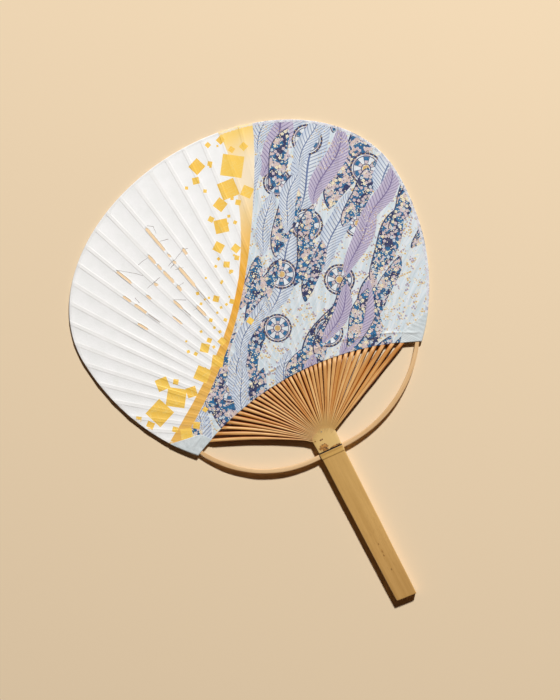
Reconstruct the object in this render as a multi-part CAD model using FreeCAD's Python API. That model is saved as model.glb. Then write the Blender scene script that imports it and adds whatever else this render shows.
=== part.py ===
import FreeCAD, Part
import math
import os

# A round paper fan on a split-bamboo frame. All lengths are in millimetres and all angles in degrees.
# The part lies on its back: +Z is up through the decorated face, +Y runs from the handle to the top of
# the leaf, and the origin is the middle of the grip, on its flat back.
# The leaf has a frame of its own. Its origin is the hub, where the lines of the ribs meet, and its plane
# droops a little from the handle, so that the top of the rim rests on the same surface as the grip.

# Handle: one flat length of bamboo with its node below the ribs
grip_length = 123.0
grip_end_width = 15.6
grip_node_width = 18.2
grip_thickness = 6.5
grip_chamfer = 0.4
node_below_hub = 8.0
node_flat_length = 1.5
node_groove_width = 0.5
node_groove_depth = 0.4
node_ring_length = 4.5
node_ring_rise = 0.3
neck_side_margin = 0.1
hub_above_middle = 0.45

# Ribs: strips split from the same bamboo, deep and narrow at the neck, flat and wide under the paper
rib_count = 37
rib_root_radius = 10.5
rib_root_thickness = 3.4
rib_width = 2.6
rib_tip_width = 2.4
rib_thickness = 0.8
rib_full_width_radius = 60.0
rib_thinned_margin = 8.0
outer_rib_inset = 14.0

# Rim of the leaf: half an ellipse above its widest line and half a longer one below it
leaf_width = 270.8
leaf_height = 239.5
leaf_widest_rise = 143.0
leaf_lower_drop = 151.7
leaf_shift = 12.5
leaf_lean_angle = 4.2

# Lower edge of the paper: one wide arch over the bare ribs
lower_edge_rise = 54.0
lower_edge_radius = 215.0
lower_edge_shift = 3.0

# Papers, the strip folded over the rim and the patches folded over the lower corners
paper_thickness = 0.15
binding_thickness = 0.1
binding_width = 2.8
ear_thickness = 0.1
ear_rim_length = 22.0
ear_edge_length = 16.0
ear_inner_length = 9.0

# Bow: a bent, many-sided rod through the neck, thinned flat where it goes between the papers
bow_below_hub = 8.9
bow_diameter = 3.0
bow_facets = 12
bow_straight_half = 12.5
bow_corner_inset = 3.2
bow_taper_length = 26.0
bow_flat_margin = 5.0
bow_end_margin = 1.5
bow_hole_clearance = 0.05

# Weaving thread, tied through the bow's ends, and the welt that it raises in both papers
thread_diameter = 0.4
thread_above_edge = 11.0
thread_corner_rise = 6.0
thread_bend_radius = 0.25
thread_tail = 1.0
welt_side_clearance = 0.3
welt_headroom = 0.05

# Worn slits in the front paper: number of the rib under each, and its ends as shares of the leaf's height
tear_width = 1.7
tear_shares = [
    (9, 0.645, 0.686),
    (10, 0.642, 0.721),
    (10, 0.736, 0.768),
    (11, 0.567, 0.605),
    (11, 0.694, 0.715),
    (11, 0.771, 0.831),
    (12, 0.606, 0.641),
    (13, 0.531, 0.572),
    (13, 0.640, 0.664),
    (13, 0.677, 0.721),
    (13, 0.760, 0.791),
    (14, 0.553, 0.612),
    (14, 0.625, 0.701),
    (14, 0.768, 0.856),
    (15, 0.717, 0.739),
]

# How far every cutting body runs past what it cuts
cut_overrun = 5.0

X_AXIS = FreeCAD.Vector(1, 0, 0)
Z_AXIS = FreeCAD.Vector(0, 0, 1)
ORIGIN = FreeCAD.Vector(0, 0, 0)

# Heights of the layers above the leaf's middle plane
rib_top = rib_thickness / 2
paper_top = rib_top + paper_thickness
binding_top = paper_top + binding_thickness
ear_top = binding_top + ear_thickness
channel_top = rib_top + thread_diameter + welt_headroom
welt_top = channel_top + paper_thickness
ear_welt_top = welt_top + ear_thickness

lean = math.radians(leaf_lean_angle)
edge_centre = FreeCAD.Vector(lower_edge_shift, lower_edge_rise - lower_edge_radius, 0)


def leaned(x, y):
    """A point of the rim's own outline, moved off the handle's line and leaned with the leaf."""
    moved = x + leaf_shift
    turned_x = moved * math.cos(lean) - y * math.sin(lean)
    turned_y = moved * math.sin(lean) + y * math.cos(lean)
    return FreeCAD.Vector(turned_x, turned_y, 0)


def on_circle(centre, radius, angle):
    """The point of a circle at an angle in radians, measured from +Y towards +X."""
    return centre + FreeCAD.Vector(radius * math.sin(angle), radius * math.cos(angle), 0)


def bearing(point):
    """The angle in radians of a point seen from the origin, from +Y towards +X."""
    return math.atan2(point.x, point.y)


def circles_meet(centre_a, radius_a, centre_b, radius_b, side):
    """The point where two circles cross, on the left (side -1) or the right (side 1)."""
    between = centre_b - centre_a
    distance = between.Length
    along = (distance ** 2 + radius_a ** 2 - radius_b ** 2) / (2 * distance)
    across = math.sqrt(radius_a ** 2 - along ** 2)
    unit = between / distance
    foot = centre_a + unit * along
    crossing = FreeCAD.Vector(-unit.y, unit.x, 0) * across
    candidates = [foot + crossing, foot - crossing]
    return max(candidates, key=lambda point: side * point.x)


def rim_point(turn, side):
    """The rim's point at a turn in radians from the top (0) past the widest line (a quarter turn)."""
    rise = leaf_height - leaf_widest_rise if turn < math.pi / 2 else leaf_lower_drop
    return leaned(side * leaf_width / 2 * math.sin(turn), leaf_widest_rise + rise * math.cos(turn))


def half_ellipse(half_width, reach):
    """The half of an ellipse that leaves the widest line upwards (positive reach) or downwards."""
    centre = leaned(0, leaf_widest_rise)
    beside = leaned(half_width, leaf_widest_rise)
    peak = leaned(0, leaf_widest_rise + reach)
    if half_width >= abs(reach):
        return Part.ArcOfEllipse(Part.Ellipse(beside, peak, centre), 0, math.pi).toShape()
    return Part.ArcOfEllipse(Part.Ellipse(peak, beside, centre), -math.pi / 2, math.pi / 2).toShape()


def arc_edge(first, middle, last):
    """A circular edge through three points."""
    return Part.Arc(first, middle, last).toShape()


def rim_face(grow):
    """The area inside the rim, grown outwards by a thickness."""
    half_width = leaf_width / 2 + grow
    upper = half_ellipse(half_width, leaf_height - leaf_widest_rise + grow)
    lower = half_ellipse(half_width, -leaf_lower_drop - grow)
    return Part.Face(Part.Wire([upper, lower]))


def raised(face, low, high):
    """A flat face made into a solid between two heights of the leaf's frame."""
    solid = face.extrude(Z_AXIS * (high - low))
    solid.translate(Z_AXIS * low)
    return solid


def polygon_face(points):
    """A flat face from its corners."""
    return Part.Face(Part.makePolygon(points + points[:1]))


def lower_arch(height):
    """The round body that cuts the paper's lower edge, as deep as twice a height."""
    return Part.makeCylinder(lower_edge_radius, height * 2, edge_centre - Z_AXIS * height, Z_AXIS)


def leaf_plate(grow, low, high):
    """A flat plate with the leaf's outline: the rim, less what lies under the lower edge."""
    plate = raised(rim_face(grow), low, high)
    return plate.cut(lower_arch(cut_overrun))


def corner_turn(side):
    """The turn from the rim's top to its lower corner, found by halving the stretch that holds it."""
    low, high = math.pi / 2, math.pi
    for _ in range(60):
        middle = (low + high) / 2
        if (rim_point(middle, side) - edge_centre).Length > lower_edge_radius:
            low = middle
        else:
            high = middle
    return low


def corner_point(side):
    """The lower corner of the paper, where the rim meets the lower edge."""
    return rim_point(corner_turn(side), side)


def along_lower_edge(side, inset):
    """The point of the lower edge at a distance inwards from the corner."""
    corner = corner_point(side) - edge_centre
    return on_circle(edge_centre, lower_edge_radius, bearing(corner) - side * inset / lower_edge_radius)


def up_the_rim(side, distance):
    """The point of the rim at a distance upwards from the corner."""
    turn = corner_turn(side)
    speed = math.hypot(leaf_width / 2 * math.cos(turn), leaf_lower_drop * math.sin(turn))
    return rim_point(turn - distance / speed, side)


def thread_circle():
    """Centre and radius of the thread's arc: over the middle of the lower edge, and nearer to it at the corners."""
    corner_way = (corner_point(1) - edge_centre).normalize()
    corner_reach = corner_way * (lower_edge_radius + thread_corner_rise)
    peak = lower_edge_radius + thread_above_edge
    drop = peak - corner_reach.y
    radius = (corner_reach.x ** 2 + drop ** 2) / (2 * drop)
    return edge_centre + FreeCAD.Vector(0, peak - radius, 0), radius


thread_centre, thread_radius = thread_circle()

# The outer ribs stand at a set distance from the corners, and the rest divide the angle between them
outer_bearings = [bearing(along_lower_edge(side, outer_rib_inset)) for side in (-1, 1)]
rib_pitch = (outer_bearings[1] - outer_bearings[0]) / (rib_count - 1)
rib_bearings = [outer_bearings[0] + rib_pitch * number for number in range(rib_count)]
rib_root_width = 2 * rib_root_radius * math.tan(rib_pitch / 2)
rib_reach = leaf_height + leaf_shift + cut_overrun
rib_thinned_radius = lower_edge_rise - rib_thinned_margin

# Place of the leaf's frame: hub over the handle, drooping until the bound rim meets the resting plane
hub_height = grip_thickness / 2 + hub_above_middle
hub_y = grip_length / 2 + node_below_hub
bound_half_width = leaf_width / 2 + binding_thickness
bound_rise = leaf_height - leaf_widest_rise + binding_thickness
leaned_rise = math.hypot(bound_half_width * math.sin(lean), bound_rise * math.cos(lean))
rim_reach = leaned(0, leaf_widest_rise).y + leaned_rise
droop = math.asin(hub_height / math.hypot(rim_reach, binding_top)) - math.atan2(binding_top, rim_reach)
hub = FreeCAD.Vector(0, hub_y, hub_height)
leaf_place = FreeCAD.Placement(hub, FreeCAD.Rotation(X_AXIS, -math.degrees(droop)))


def placed(shape):
    """A copy of a shape of the leaf's frame, moved to its place in the part."""
    copy = shape.copy()
    copy.transformShape(leaf_place.toMatrix(), True)
    return copy


# The ribs may fill the rim and what lies under the paper's lower edge
rib_space = raised(rim_face(0), -rib_root_thickness, rib_root_thickness).fuse(lower_arch(rib_root_thickness))


def rib(angle):
    """One rib: its plan crossed with its side view, turned to its bearing and trimmed by the rim."""
    plan = polygon_face([
        FreeCAD.Vector(-rib_root_width / 2, rib_root_radius, 0),
        FreeCAD.Vector(-rib_width / 2, rib_full_width_radius, 0),
        FreeCAD.Vector(-rib_tip_width / 2, rib_reach, 0),
        FreeCAD.Vector(rib_tip_width / 2, rib_reach, 0),
        FreeCAD.Vector(rib_width / 2, rib_full_width_radius, 0),
        FreeCAD.Vector(rib_root_width / 2, rib_root_radius, 0),
    ])
    side = polygon_face([
        FreeCAD.Vector(-rib_width, rib_root_radius, -rib_root_thickness / 2),
        FreeCAD.Vector(-rib_width, rib_thinned_radius, -rib_top),
        FreeCAD.Vector(-rib_width, rib_reach, -rib_top),
        FreeCAD.Vector(-rib_width, rib_reach, rib_top),
        FreeCAD.Vector(-rib_width, rib_thinned_radius, rib_top),
        FreeCAD.Vector(-rib_width, rib_root_radius, rib_root_thickness / 2),
    ])
    strip = raised(plan, -rib_root_thickness, rib_root_thickness)
    strip = strip.common(side.extrude(X_AXIS * rib_width * 2))
    strip.rotate(ORIGIN, Z_AXIS, -math.degrees(angle))
    return strip.common(rib_space)


def root_block():
    """Everything on the handle's side of the facets where the ribs leave the neck."""
    corner_radius = rib_root_radius / math.cos(rib_pitch / 2)
    angles = [rib_bearings[0] - rib_pitch / 2 + rib_pitch * number for number in range(rib_count + 1)]
    facets = [on_circle(ORIGIN, corner_radius, angle) for angle in angles]
    left_run = (facets[0] - facets[1]).normalize() * cut_overrun
    right_run = (facets[-1] - facets[-2]).normalize() * cut_overrun
    left_end = facets[0] + left_run
    right_end = facets[-1] + right_run
    below = -node_below_hub - cut_overrun
    corners = [FreeCAD.Vector(right_end.x, below, 0), FreeCAD.Vector(left_end.x, below, 0)]
    face = polygon_face([left_end] + facets + [right_end] + corners)
    return raised(face, -grip_thickness * 2, grip_thickness * 2)


def leaf_profile_point(y, z):
    """A point of the leaf's middle section in the part's frame."""
    return leaf_place.multVec(FreeCAD.Vector(0, y, z))


def neck():
    """The neck from the node to the ribs' roots: plan crossed with side view, cut to the root facets."""
    node_y = grip_length / 2
    root_corner = on_circle(ORIGIN, rib_root_radius, rib_bearings[-1] + rib_pitch / 2)
    node_half = grip_node_width / 2
    root_half = root_corner.x + neck_side_margin
    widening = (root_half - node_half) / (root_corner.y + node_below_hub)
    top_y = hub_y + rib_root_radius + cut_overrun
    top_half = node_half + widening * (top_y - node_y)
    plan = polygon_face([
        FreeCAD.Vector(-node_half, node_y, 0),
        FreeCAD.Vector(node_half, node_y, 0),
        FreeCAD.Vector(top_half, top_y, 0),
        FreeCAD.Vector(-top_half, top_y, 0),
    ])
    flat_y = node_y + node_flat_length
    root_top = rib_root_radius + cut_overrun
    half = rib_root_thickness / 2
    side = polygon_face([
        FreeCAD.Vector(0, node_y, 0),
        FreeCAD.Vector(0, flat_y, 0),
        leaf_profile_point(root_corner.y, -half),
        leaf_profile_point(root_top, -half),
        leaf_profile_point(root_top, half),
        leaf_profile_point(root_corner.y, half),
        FreeCAD.Vector(0, flat_y, grip_thickness),
        FreeCAD.Vector(0, node_y, grip_thickness),
    ])
    side.translate(X_AXIS * -top_half)
    block = raised(plan, 0, grip_thickness).common(side.extrude(X_AXIS * top_half * 2))
    return block.common(placed(root_block()))


def grip():
    """The flat part that the hand holds, with its long edges and cut end chamfered."""
    half = grip_length / 2
    plan = polygon_face([
        FreeCAD.Vector(-grip_end_width / 2, -half, 0),
        FreeCAD.Vector(grip_end_width / 2, -half, 0),
        FreeCAD.Vector(grip_node_width / 2, half, 0),
        FreeCAD.Vector(-grip_node_width / 2, half, 0),
    ])
    bar = raised(plan, 0, grip_thickness)
    edges = [edge for edge in bar.Edges if edge.CenterOfMass.y < half - grip_chamfer]
    return bar.makeChamfer(grip_chamfer, edges)


def handle():
    """Grip, node ring and neck as one length of bamboo, with the node's groove and the bow's hole."""
    node_y = grip_length / 2
    ring_width = grip_node_width + node_ring_rise * 2
    ring = Part.makeBox(
        ring_width,
        node_ring_length,
        grip_thickness + node_ring_rise,
        FreeCAD.Vector(-ring_width / 2, node_y - node_ring_length, 0),
    )
    body = grip().fuse([ring, neck()])
    groove = Part.makeBox(
        ring_width,
        node_groove_width,
        node_groove_depth + cut_overrun,
        FreeCAD.Vector(-ring_width / 2, node_y, grip_thickness - node_groove_depth),
    )
    hole_centre = leaf_profile_point(-bow_below_hub, 0)
    hole = Part.makeCylinder(
        bow_diameter / 2 + bow_hole_clearance,
        ring_width + cut_overrun * 2,
        hole_centre - X_AXIS * (ring_width / 2 + cut_overrun),
        X_AXIS,
    )
    return body.cut([groove, hole]).removeSplitter()


def bow_arm(side):
    """Centre and radius of a bow arm: tangent to its straight middle and through its place at the corner."""
    start = FreeCAD.Vector(side * bow_straight_half, -bow_below_hub, 0)
    target = along_lower_edge(side, bow_corner_inset)
    reach = target - start
    radius = (reach.x ** 2 + reach.y ** 2) / (2 * reach.y)
    return start + FreeCAD.Vector(0, radius, 0), radius


def bow_hook(side):
    """The place near the end of a bow arm where the weaving thread goes through it."""
    centre, radius = bow_arm(side)
    return circles_meet(centre, radius, thread_centre, thread_radius, side)


def bow_tip(side):
    """The end of a bow arm, a margin past the thread."""
    centre, radius = bow_arm(side)
    return circles_meet(centre, radius, thread_centre, thread_radius + bow_end_margin, side)


def bow_section(middle):
    """The many-sided face across the bow at a place on its straight middle."""
    turns = [2 * math.pi * (number + 0.5) / bow_facets for number in range(bow_facets)]
    arms = [FreeCAD.Vector(0, math.cos(turn), math.sin(turn)) for turn in turns]
    return polygon_face([middle + arm * (bow_diameter / 2) for arm in arms])


def bow_rod():
    """The bow before it is thinned: its straight middle, and the section turned along both arms."""
    arms = []
    for side in (-1, 1):
        centre, radius = bow_arm(side)
        tip = bow_tip(side)
        sweep = math.atan2(side * (tip.x - centre.x), centre.y - tip.y)
        start = bow_section(centre - FreeCAD.Vector(0, radius, 0))
        arms.append(start.revolve(centre, Z_AXIS, side * math.degrees(sweep)))
    left_start = FreeCAD.Vector(-bow_straight_half, -bow_below_hub, 0)
    return bow_section(left_start).extrude(X_AXIS * bow_straight_half * 2).fuse(arms)


def bow_slab():
    """The space that thins the bow towards its ends, from its full depth to the depth of a rib."""
    left_flat = along_lower_edge(-1, bow_corner_inset).x + bow_flat_margin
    right_flat = along_lower_edge(1, bow_corner_inset).x - bow_flat_margin
    left_end = bow_tip(-1).x - bow_diameter
    right_end = bow_tip(1).x + bow_diameter
    full = bow_diameter
    low_y = -bow_below_hub - bow_diameter
    high_y = lower_edge_rise + bow_diameter
    outline = [
        (left_end, rib_top),
        (left_flat, rib_top),
        (left_flat + bow_taper_length, full),
        (right_flat - bow_taper_length, full),
        (right_flat, rib_top),
        (right_end, rib_top),
    ]
    upper = [FreeCAD.Vector(x, low_y, z) for x, z in outline]
    lower = [FreeCAD.Vector(x, low_y, -z) for x, z in reversed(outline)]
    return polygon_face(upper + lower).extrude(FreeCAD.Vector(0, high_y - low_y, 0))


def bow():
    """The rod, thinned at the ends and pierced there for the thread."""
    thinned = bow_rod().common(bow_slab())
    return thinned.cut([thread_end_run(-1), thread_end_run(1)]).removeSplitter()


def thread_crossing(angle):
    """The place where the thread's arc crosses a rib."""
    along = FreeCAD.Vector(math.sin(angle), math.cos(angle), 0)
    near = along.dot(thread_centre)
    distance = near + math.sqrt(near ** 2 - thread_centre.Length ** 2 + thread_radius ** 2)
    return along * distance


def beside_bow(side):
    """The middle of the gap between an outer rib and the bow, on the thread's way."""
    crossing = thread_crossing(outer_bearings[0 if side < 0 else -1])
    run = bow_hook(side) - crossing
    distance = (run.Length + rib_width / 2 - bow_diameter / 2) / 2
    return crossing + run.normalize() * distance


def thread_turns():
    """The places where the thread changes sides: between each two ribs, and between the outer ribs and the bow."""
    crossings = [thread_crossing(angle) for angle in rib_bearings]
    between = [(a + b) / 2 for a, b in zip(crossings, crossings[1:])]
    return [beside_bow(-1)] + between + [beside_bow(1)]


def thread_end(side):
    """The thread's free end, a short tail past the bow."""
    turn = thread_turns()[0 if side < 0 else -1]
    hook = bow_hook(side)
    return hook + (hook - turn).normalize() * (bow_diameter / 2 + thread_tail)


def thread_end_run(side):
    """The straight end of the thread as a rod: it cuts the hole near the bow's tip."""
    turn = thread_turns()[0 if side < 0 else -1]
    run = thread_end(side) - turn
    return Part.makeCylinder(thread_diameter / 2, run.Length, turn, run)


def thread_path():
    """The thread's line: over one rib and under the next, with a rounded step between each two."""
    turns = thread_turns()
    stops = [thread_end(-1)] + turns + [thread_end(1)]
    over = rib_top + thread_diameter / 2
    heights = [0.0] + [over if number % 2 == 0 else -over for number in range(rib_count)] + [0.0]
    soft_share = 1 - math.sqrt(0.5)
    edges = []
    here = stops[0]
    for number, turn in enumerate(turns):
        before = (turn - stops[number]).normalize()
        after = (stops[number + 2] - turn).normalize()
        low, high = heights[number], heights[number + 1]
        step = Z_AXIS * math.copysign(thread_bend_radius, high - low)
        bends = [(low, -before * thread_bend_radius, step), (high, -step, after * thread_bend_radius)]
        for level, leave, arrive in bends:
            corner = turn + Z_AXIS * level
            middle = corner + (leave + arrive) * soft_share
            edges.append(Part.makeLine(here, corner + leave))
            edges.append(arc_edge(corner + leave, middle, corner + arrive))
            here = corner + arrive
    edges.append(Part.makeLine(here, stops[-1]))
    return Part.Wire(edges)


def weaving_thread():
    """A thin round thread swept along its line, from bow end to bow end."""
    path = thread_path()
    start = thread_end(-1)
    section = Part.Wire(Part.makeCircle(thread_diameter / 2, start, thread_turns()[0] - start))
    thread = path.makePipeShell([section], True, False)
    expected = path.Length * math.pi * (thread_diameter / 2) ** 2
    print("thread length", round(path.Length, 2), "volume over expected", round(thread.Volume / expected, 4))
    return thread


def welt(side_growth, low, high):
    """The ridge over the thread: a strip of a ring about the centre of the thread's arc."""
    half = thread_diameter / 2 + welt_side_clearance + side_growth
    turns = thread_turns()
    spare = half / thread_radius
    first = bearing(turns[0] - thread_centre) - spare
    last = bearing(turns[-1] - thread_centre) + spare
    middle = (first + last) / 2
    inner, outer = thread_radius - half, thread_radius + half
    outside = [on_circle(thread_centre, outer, angle) for angle in (first, middle, last)]
    inside = [on_circle(thread_centre, inner, angle) for angle in (last, middle, first)]
    edges = [
        arc_edge(*outside),
        Part.makeLine(outside[-1], inside[0]),
        arc_edge(*inside),
        Part.makeLine(inside[-1], outside[0]),
    ]
    return raised(Part.Face(Part.Wire(edges)), low, high)


def sheet():
    """One sheet of paper on the ribs' upper face, raised in a welt over the thread."""
    flat = leaf_plate(0, rib_top, paper_top)
    outer = welt(paper_thickness, rib_top, welt_top)
    inner = welt(0, rib_top - cut_overrun, channel_top)
    return flat.fuse(outer).cut(inner).removeSplitter()


def tear(number, start_share, end_share):
    """A worn slit over one rib, pointed at both ends."""
    low, high = start_share * leaf_height, end_share * leaf_height
    middle = (low + high) / 2
    ends = [FreeCAD.Vector(0, low, 0), FreeCAD.Vector(0, high, 0)]
    flanks = [FreeCAD.Vector(side * tear_width / 2, middle, 0) for side in (-1, 1)]
    edges = [arc_edge(ends[0], flanks[0], ends[1]), arc_edge(ends[1], flanks[1], ends[0])]
    slit = raised(Part.Face(Part.Wire(edges)), 0, cut_overrun)
    slit.rotate(ORIGIN, Z_AXIS, -math.degrees(rib_bearings[number]))
    return slit


def front_paper():
    """The decorated sheet, worn through along some of the ribs."""
    return sheet().cut([tear(*row) for row in tear_shares])


def back_paper():
    """The plain sheet on the other face of the ribs."""
    return sheet().mirror(ORIGIN, Z_AXIS)


def edge_binding():
    """The strip folded over the rim: along both faces and round the edge, from ear to ear."""
    outside = leaf_plate(binding_thickness, -binding_top, binding_top)
    inside = raised(rim_face(-binding_width), -binding_top - cut_overrun, binding_top + cut_overrun)
    return outside.cut([inside, leaf_plate(0, -paper_top, paper_top)])


def ear(side):
    """The patch folded over one lower corner, over the binding and the end of the welt."""
    corner = corner_point(side)
    rim_end = up_the_rim(side, ear_rim_length)
    edge_end = along_lower_edge(side, ear_edge_length)
    rim_run = (rim_end - corner).normalize()
    edge_run = (edge_end - corner).normalize()
    patch = polygon_face([
        corner - (rim_run + edge_run) * cut_overrun,
        rim_end - edge_run * cut_overrun,
        edge_end + rim_run * ear_inner_length,
        edge_end - rim_run * cut_overrun,
    ])
    outline = raised(patch, -ear_welt_top, ear_welt_top)
    outer = leaf_plate(binding_thickness + ear_thickness, -ear_top, ear_top)
    ridge = welt(paper_thickness + ear_thickness, -ear_welt_top, ear_welt_top)
    filled_welt = welt(paper_thickness, -welt_top, welt_top)
    binding_area = leaf_plate(binding_thickness, -binding_top, binding_top)
    binding_area = binding_area.cut(raised(rim_face(-binding_width), -ear_welt_top, ear_welt_top))
    papers = leaf_plate(0, -paper_top, paper_top)
    return outer.fuse(ridge).common(outline).cut([papers, binding_area, filled_welt])


def save(name, shape):
    """Write one sub-part after checking that it is one sound solid."""
    solids = shape.Solids
    print(name, "solids", len(solids), "valid", shape.isValid(), "volume", round(shape.Volume, 3))
    solids[0].exportStep("parts/" + name + ".step")


os.makedirs("parts", exist_ok=True)
print("lower corners", corner_point(-1), corner_point(1))
print("outer ribs", [round(math.degrees(angle), 2) for angle in outer_bearings])
print("droop", round(math.degrees(droop), 3))
print("bow radii", [round(bow_arm(side)[1], 2) for side in (-1, 1)])
save("handle", handle())
for number, angle in enumerate(rib_bearings):
    save("rib_%02d" % (number + 1), placed(rib(angle)))
save("bow", placed(bow()))
save("weaving_thread", placed(weaving_thread()))
save("front_paper", placed(front_paper()))
save("back_paper", placed(back_paper()))
save("edge_binding", placed(edge_binding()))
save("ear_left", placed(ear(-1)))
save("ear_right", placed(ear(1)))
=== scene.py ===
import math

import bmesh
import bpy
import numpy as np
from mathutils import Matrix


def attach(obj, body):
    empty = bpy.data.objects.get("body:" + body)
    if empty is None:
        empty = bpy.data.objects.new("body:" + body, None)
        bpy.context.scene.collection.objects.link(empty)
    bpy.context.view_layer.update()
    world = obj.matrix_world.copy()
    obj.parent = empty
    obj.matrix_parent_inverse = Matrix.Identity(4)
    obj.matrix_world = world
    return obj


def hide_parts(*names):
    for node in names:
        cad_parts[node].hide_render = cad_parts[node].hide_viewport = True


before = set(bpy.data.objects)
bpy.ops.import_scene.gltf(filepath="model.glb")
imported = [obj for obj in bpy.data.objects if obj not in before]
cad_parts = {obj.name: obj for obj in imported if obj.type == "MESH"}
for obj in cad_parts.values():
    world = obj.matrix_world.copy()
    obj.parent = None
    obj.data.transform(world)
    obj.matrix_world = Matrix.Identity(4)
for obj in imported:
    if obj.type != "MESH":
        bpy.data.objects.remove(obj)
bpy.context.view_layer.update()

# A round paper fan on a split-bamboo frame. Shapes are worked out in millimetres and put into the meshes in
# metres. The leaf's own frame has its origin at the hub, where the lines of the ribs meet: x to the right,
# y to the top of the leaf, z out of the decorated face.

METRE = 0.001
WAVES = 7

# Handle and hub
GRIP_LENGTH = 123.0
GRIP_END_WIDTH = 15.6
NODE_WIDTH = 18.2
GRIP_DEPTH = 6.5
RING_LENGTH = 4.5
RING_RISE = 0.3
GROOVE_DEPTH = 0.42
END_BEVEL = np.array([0.0, 0.06, 0.2, 0.4, 0.9])
END_CHAMFER = np.array([0.5, 0.3, 0.13, 0.04, 0.0])
NODE_Y = GRIP_LENGTH / 2
RING_START = NODE_Y - RING_LENGTH
NECK_START = NODE_Y + 1.5
HUB_Y = NODE_Y + 8.0
HUB_HEIGHT = GRIP_DEPTH / 2 + 0.45

# Ribs
RIB_COUNT = 37
ROOT_RADIUS = 10.5
ROOT_DEPTH = 3.4
RIB_WIDTH = 2.6
RIB_TIP_WIDTH = 2.4
RIB_DEPTH = 0.8
FULL_WIDTH_RADIUS = 60.0
OUTER_RIB_INSET = 14.0
RIB_START = 6.5
RIB_TIP_GAP = 1.3
FREE_DEPTH = 3.2
THINNED_STRETCH = 4.0

# Rim and lower edge of the leaf
LEAF_HEIGHT = 239.5
HALF_WIDTH = 270.8 / 2
WIDEST_RISE = 143.0
TOP_RISE = LEAF_HEIGHT - WIDEST_RISE
LOWER_DROP = 151.7
LEAF_SHIFT = 12.5
LEAN = math.radians(4.2)
EDGE_RADIUS = 215.0
EDGE_CENTRE = np.array([3.0, 54.0 - EDGE_RADIUS])

# Papers, weaving thread and bow
PAPER = 0.15
PAPER_TOP = RIB_DEPTH / 2 + PAPER
BINDING = 0.1
BINDING_WIDTH = 2.8
BINDING_WALL = 0.06
EAR_RIM_LENGTH = 22.0
EAR_EDGE_LENGTH = 16.0
EAR_INNER_LENGTH = 9.0
EAR_LIFT = 0.22
EAR_WALL = 0.08
SHOULDER_DROP = 0.1
SHOULDER_LIP = 0.025
GAP_SAG = 0.16
PUCKER = 0.05
THREAD_PEAK = 11.0
THREAD_AT_CORNER = 6.0
WELT_HALF = 1.5
WELT_CRESTS = (1.02, 0.78)
BOW_BELOW_HUB = 8.9
BOW_STRAIGHT = 12.5
BOW_INSET = 3.2
BOW_FLAT_MARGIN = 5.0
BOW_TAPER = 26.0
BOW_END_MARGIN = 1.5
BOW_HALF_DEPTHS = [0.37, 1.45, 1.45, 0.37]
BOW_HALF_WIDTHS = [1.0, 1.4, 1.8, 1.8, 1.4, 1.0]

# Slant of the node and of the grip's sawn end: rise of the line's middle and slope across the handle
NODE_SLANT = (0.45, -0.05)
END_SLANT = (1.0, -0.096)
SLANT_REACH = 12.0

# Worn slits: number of the rib under each, counted from the left, its ends as shares of the leaf's height,
# and how much of the rib's width is bare
TEARS = [
    (9, 0.645, 0.686, 0.8), (10, 0.628, 0.675, 0.08), (10, 0.677, 0.721, 0.9), (10, 0.736, 0.768, 0.8),
    (11, 0.567, 0.605, 0.6), (11, 0.694, 0.715, 0.9), (11, 0.771, 0.831, 0.8), (12, 0.565, 0.604, 0.08),
    (12, 0.606, 0.641, 0.9), (12, 0.702, 0.719, 1.0), (13, 0.531, 0.572, 0.9), (13, 0.640, 0.664, 1.0),
    (13, 0.677, 0.721, 1.0), (13, 0.732, 0.748, 1.0), (13, 0.760, 0.791, 1.0), (14, 0.553, 0.622, 0.08),
    (14, 0.625, 0.701, 1.0), (14, 0.710, 0.725, 0.9), (14, 0.738, 0.757, 0.8), (14, 0.768, 0.856, 1.0),
    (15, 0.717, 0.739, 1.0),
]
TEAR_HALF_WIDTH = 1.25
SHUT_HALF_WIDTH = 0.04
SHUT_SHARE = 0.3
LIP_REACH = 1.5
LIP_COLUMNS = 4
LIP_LIFTS = {-1: (0.06, 0.35), 1: (0.02, 0.1)}

# Hairline cracks of the worn part, each a straight stretch from one point of the leaf to another
CRACKS = [
    (-45, 201, -42, 199.5), (-42, 199.5, -41.5, 193), (-42, 187, -36, 185.5), (-64.5, 179, -54, 180.5),
    (-44, 165.5, -39, 167.5), (-41.5, 163, -36, 162), (-80.5, 182.5, -68.5, 173.5), (-68.5, 173.5, -65, 170),
    (-66, 160, -54, 162.5), (-47, 151, -40.5, 151.5), (-52, 143.5, -44.8, 139.5), (-43.5, 130.5, -40, 130.5),
    (-77, 157.5, -76.5, 153.5), (-44.5, 167.5, -31.5, 172.5), (-31.5, 173, -26, 172.5),
]

# Height, left side and right side of the gold strip between the white field and the print
STRIP = np.array([
    (45, -114, -98.5), (80, -60, -49), (115, -20, -13.5), (150, 6, 13), (195, 26, 40.5), (240, 33, 61),
])


def smooth(low, high, x):
    """A soft step from 0 at low to 1 at high."""
    t = np.clip((x - low) / (high - low), 0, 1)
    return t * t * (3 - 2 * t)


def ripple(a, b, size, seed):
    """Soft unevenness between about -1 and 1: a sum of sine waves in chance directions."""
    chance = np.random.default_rng(seed)
    total = np.zeros(np.broadcast(a, b).shape)
    for _ in range(WAVES):
        turn, start = chance.uniform(0, 2 * np.pi, 2)
        length = size * chance.uniform(0.6, 1.7)
        total += np.sin((a * np.cos(turn) + b * np.sin(turn)) * 2 * np.pi / length + start)
    return total / math.sqrt(WAVES)


# Outline of the leaf

def leaned(across, up):
    """A point of the rim's own outline, moved off the handle's line and leaned with the leaf."""
    moved = across + LEAF_SHIFT
    x = moved * math.cos(LEAN) - up * math.sin(LEAN)
    y = moved * math.sin(LEAN) + up * math.cos(LEAN)
    return x, y


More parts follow.
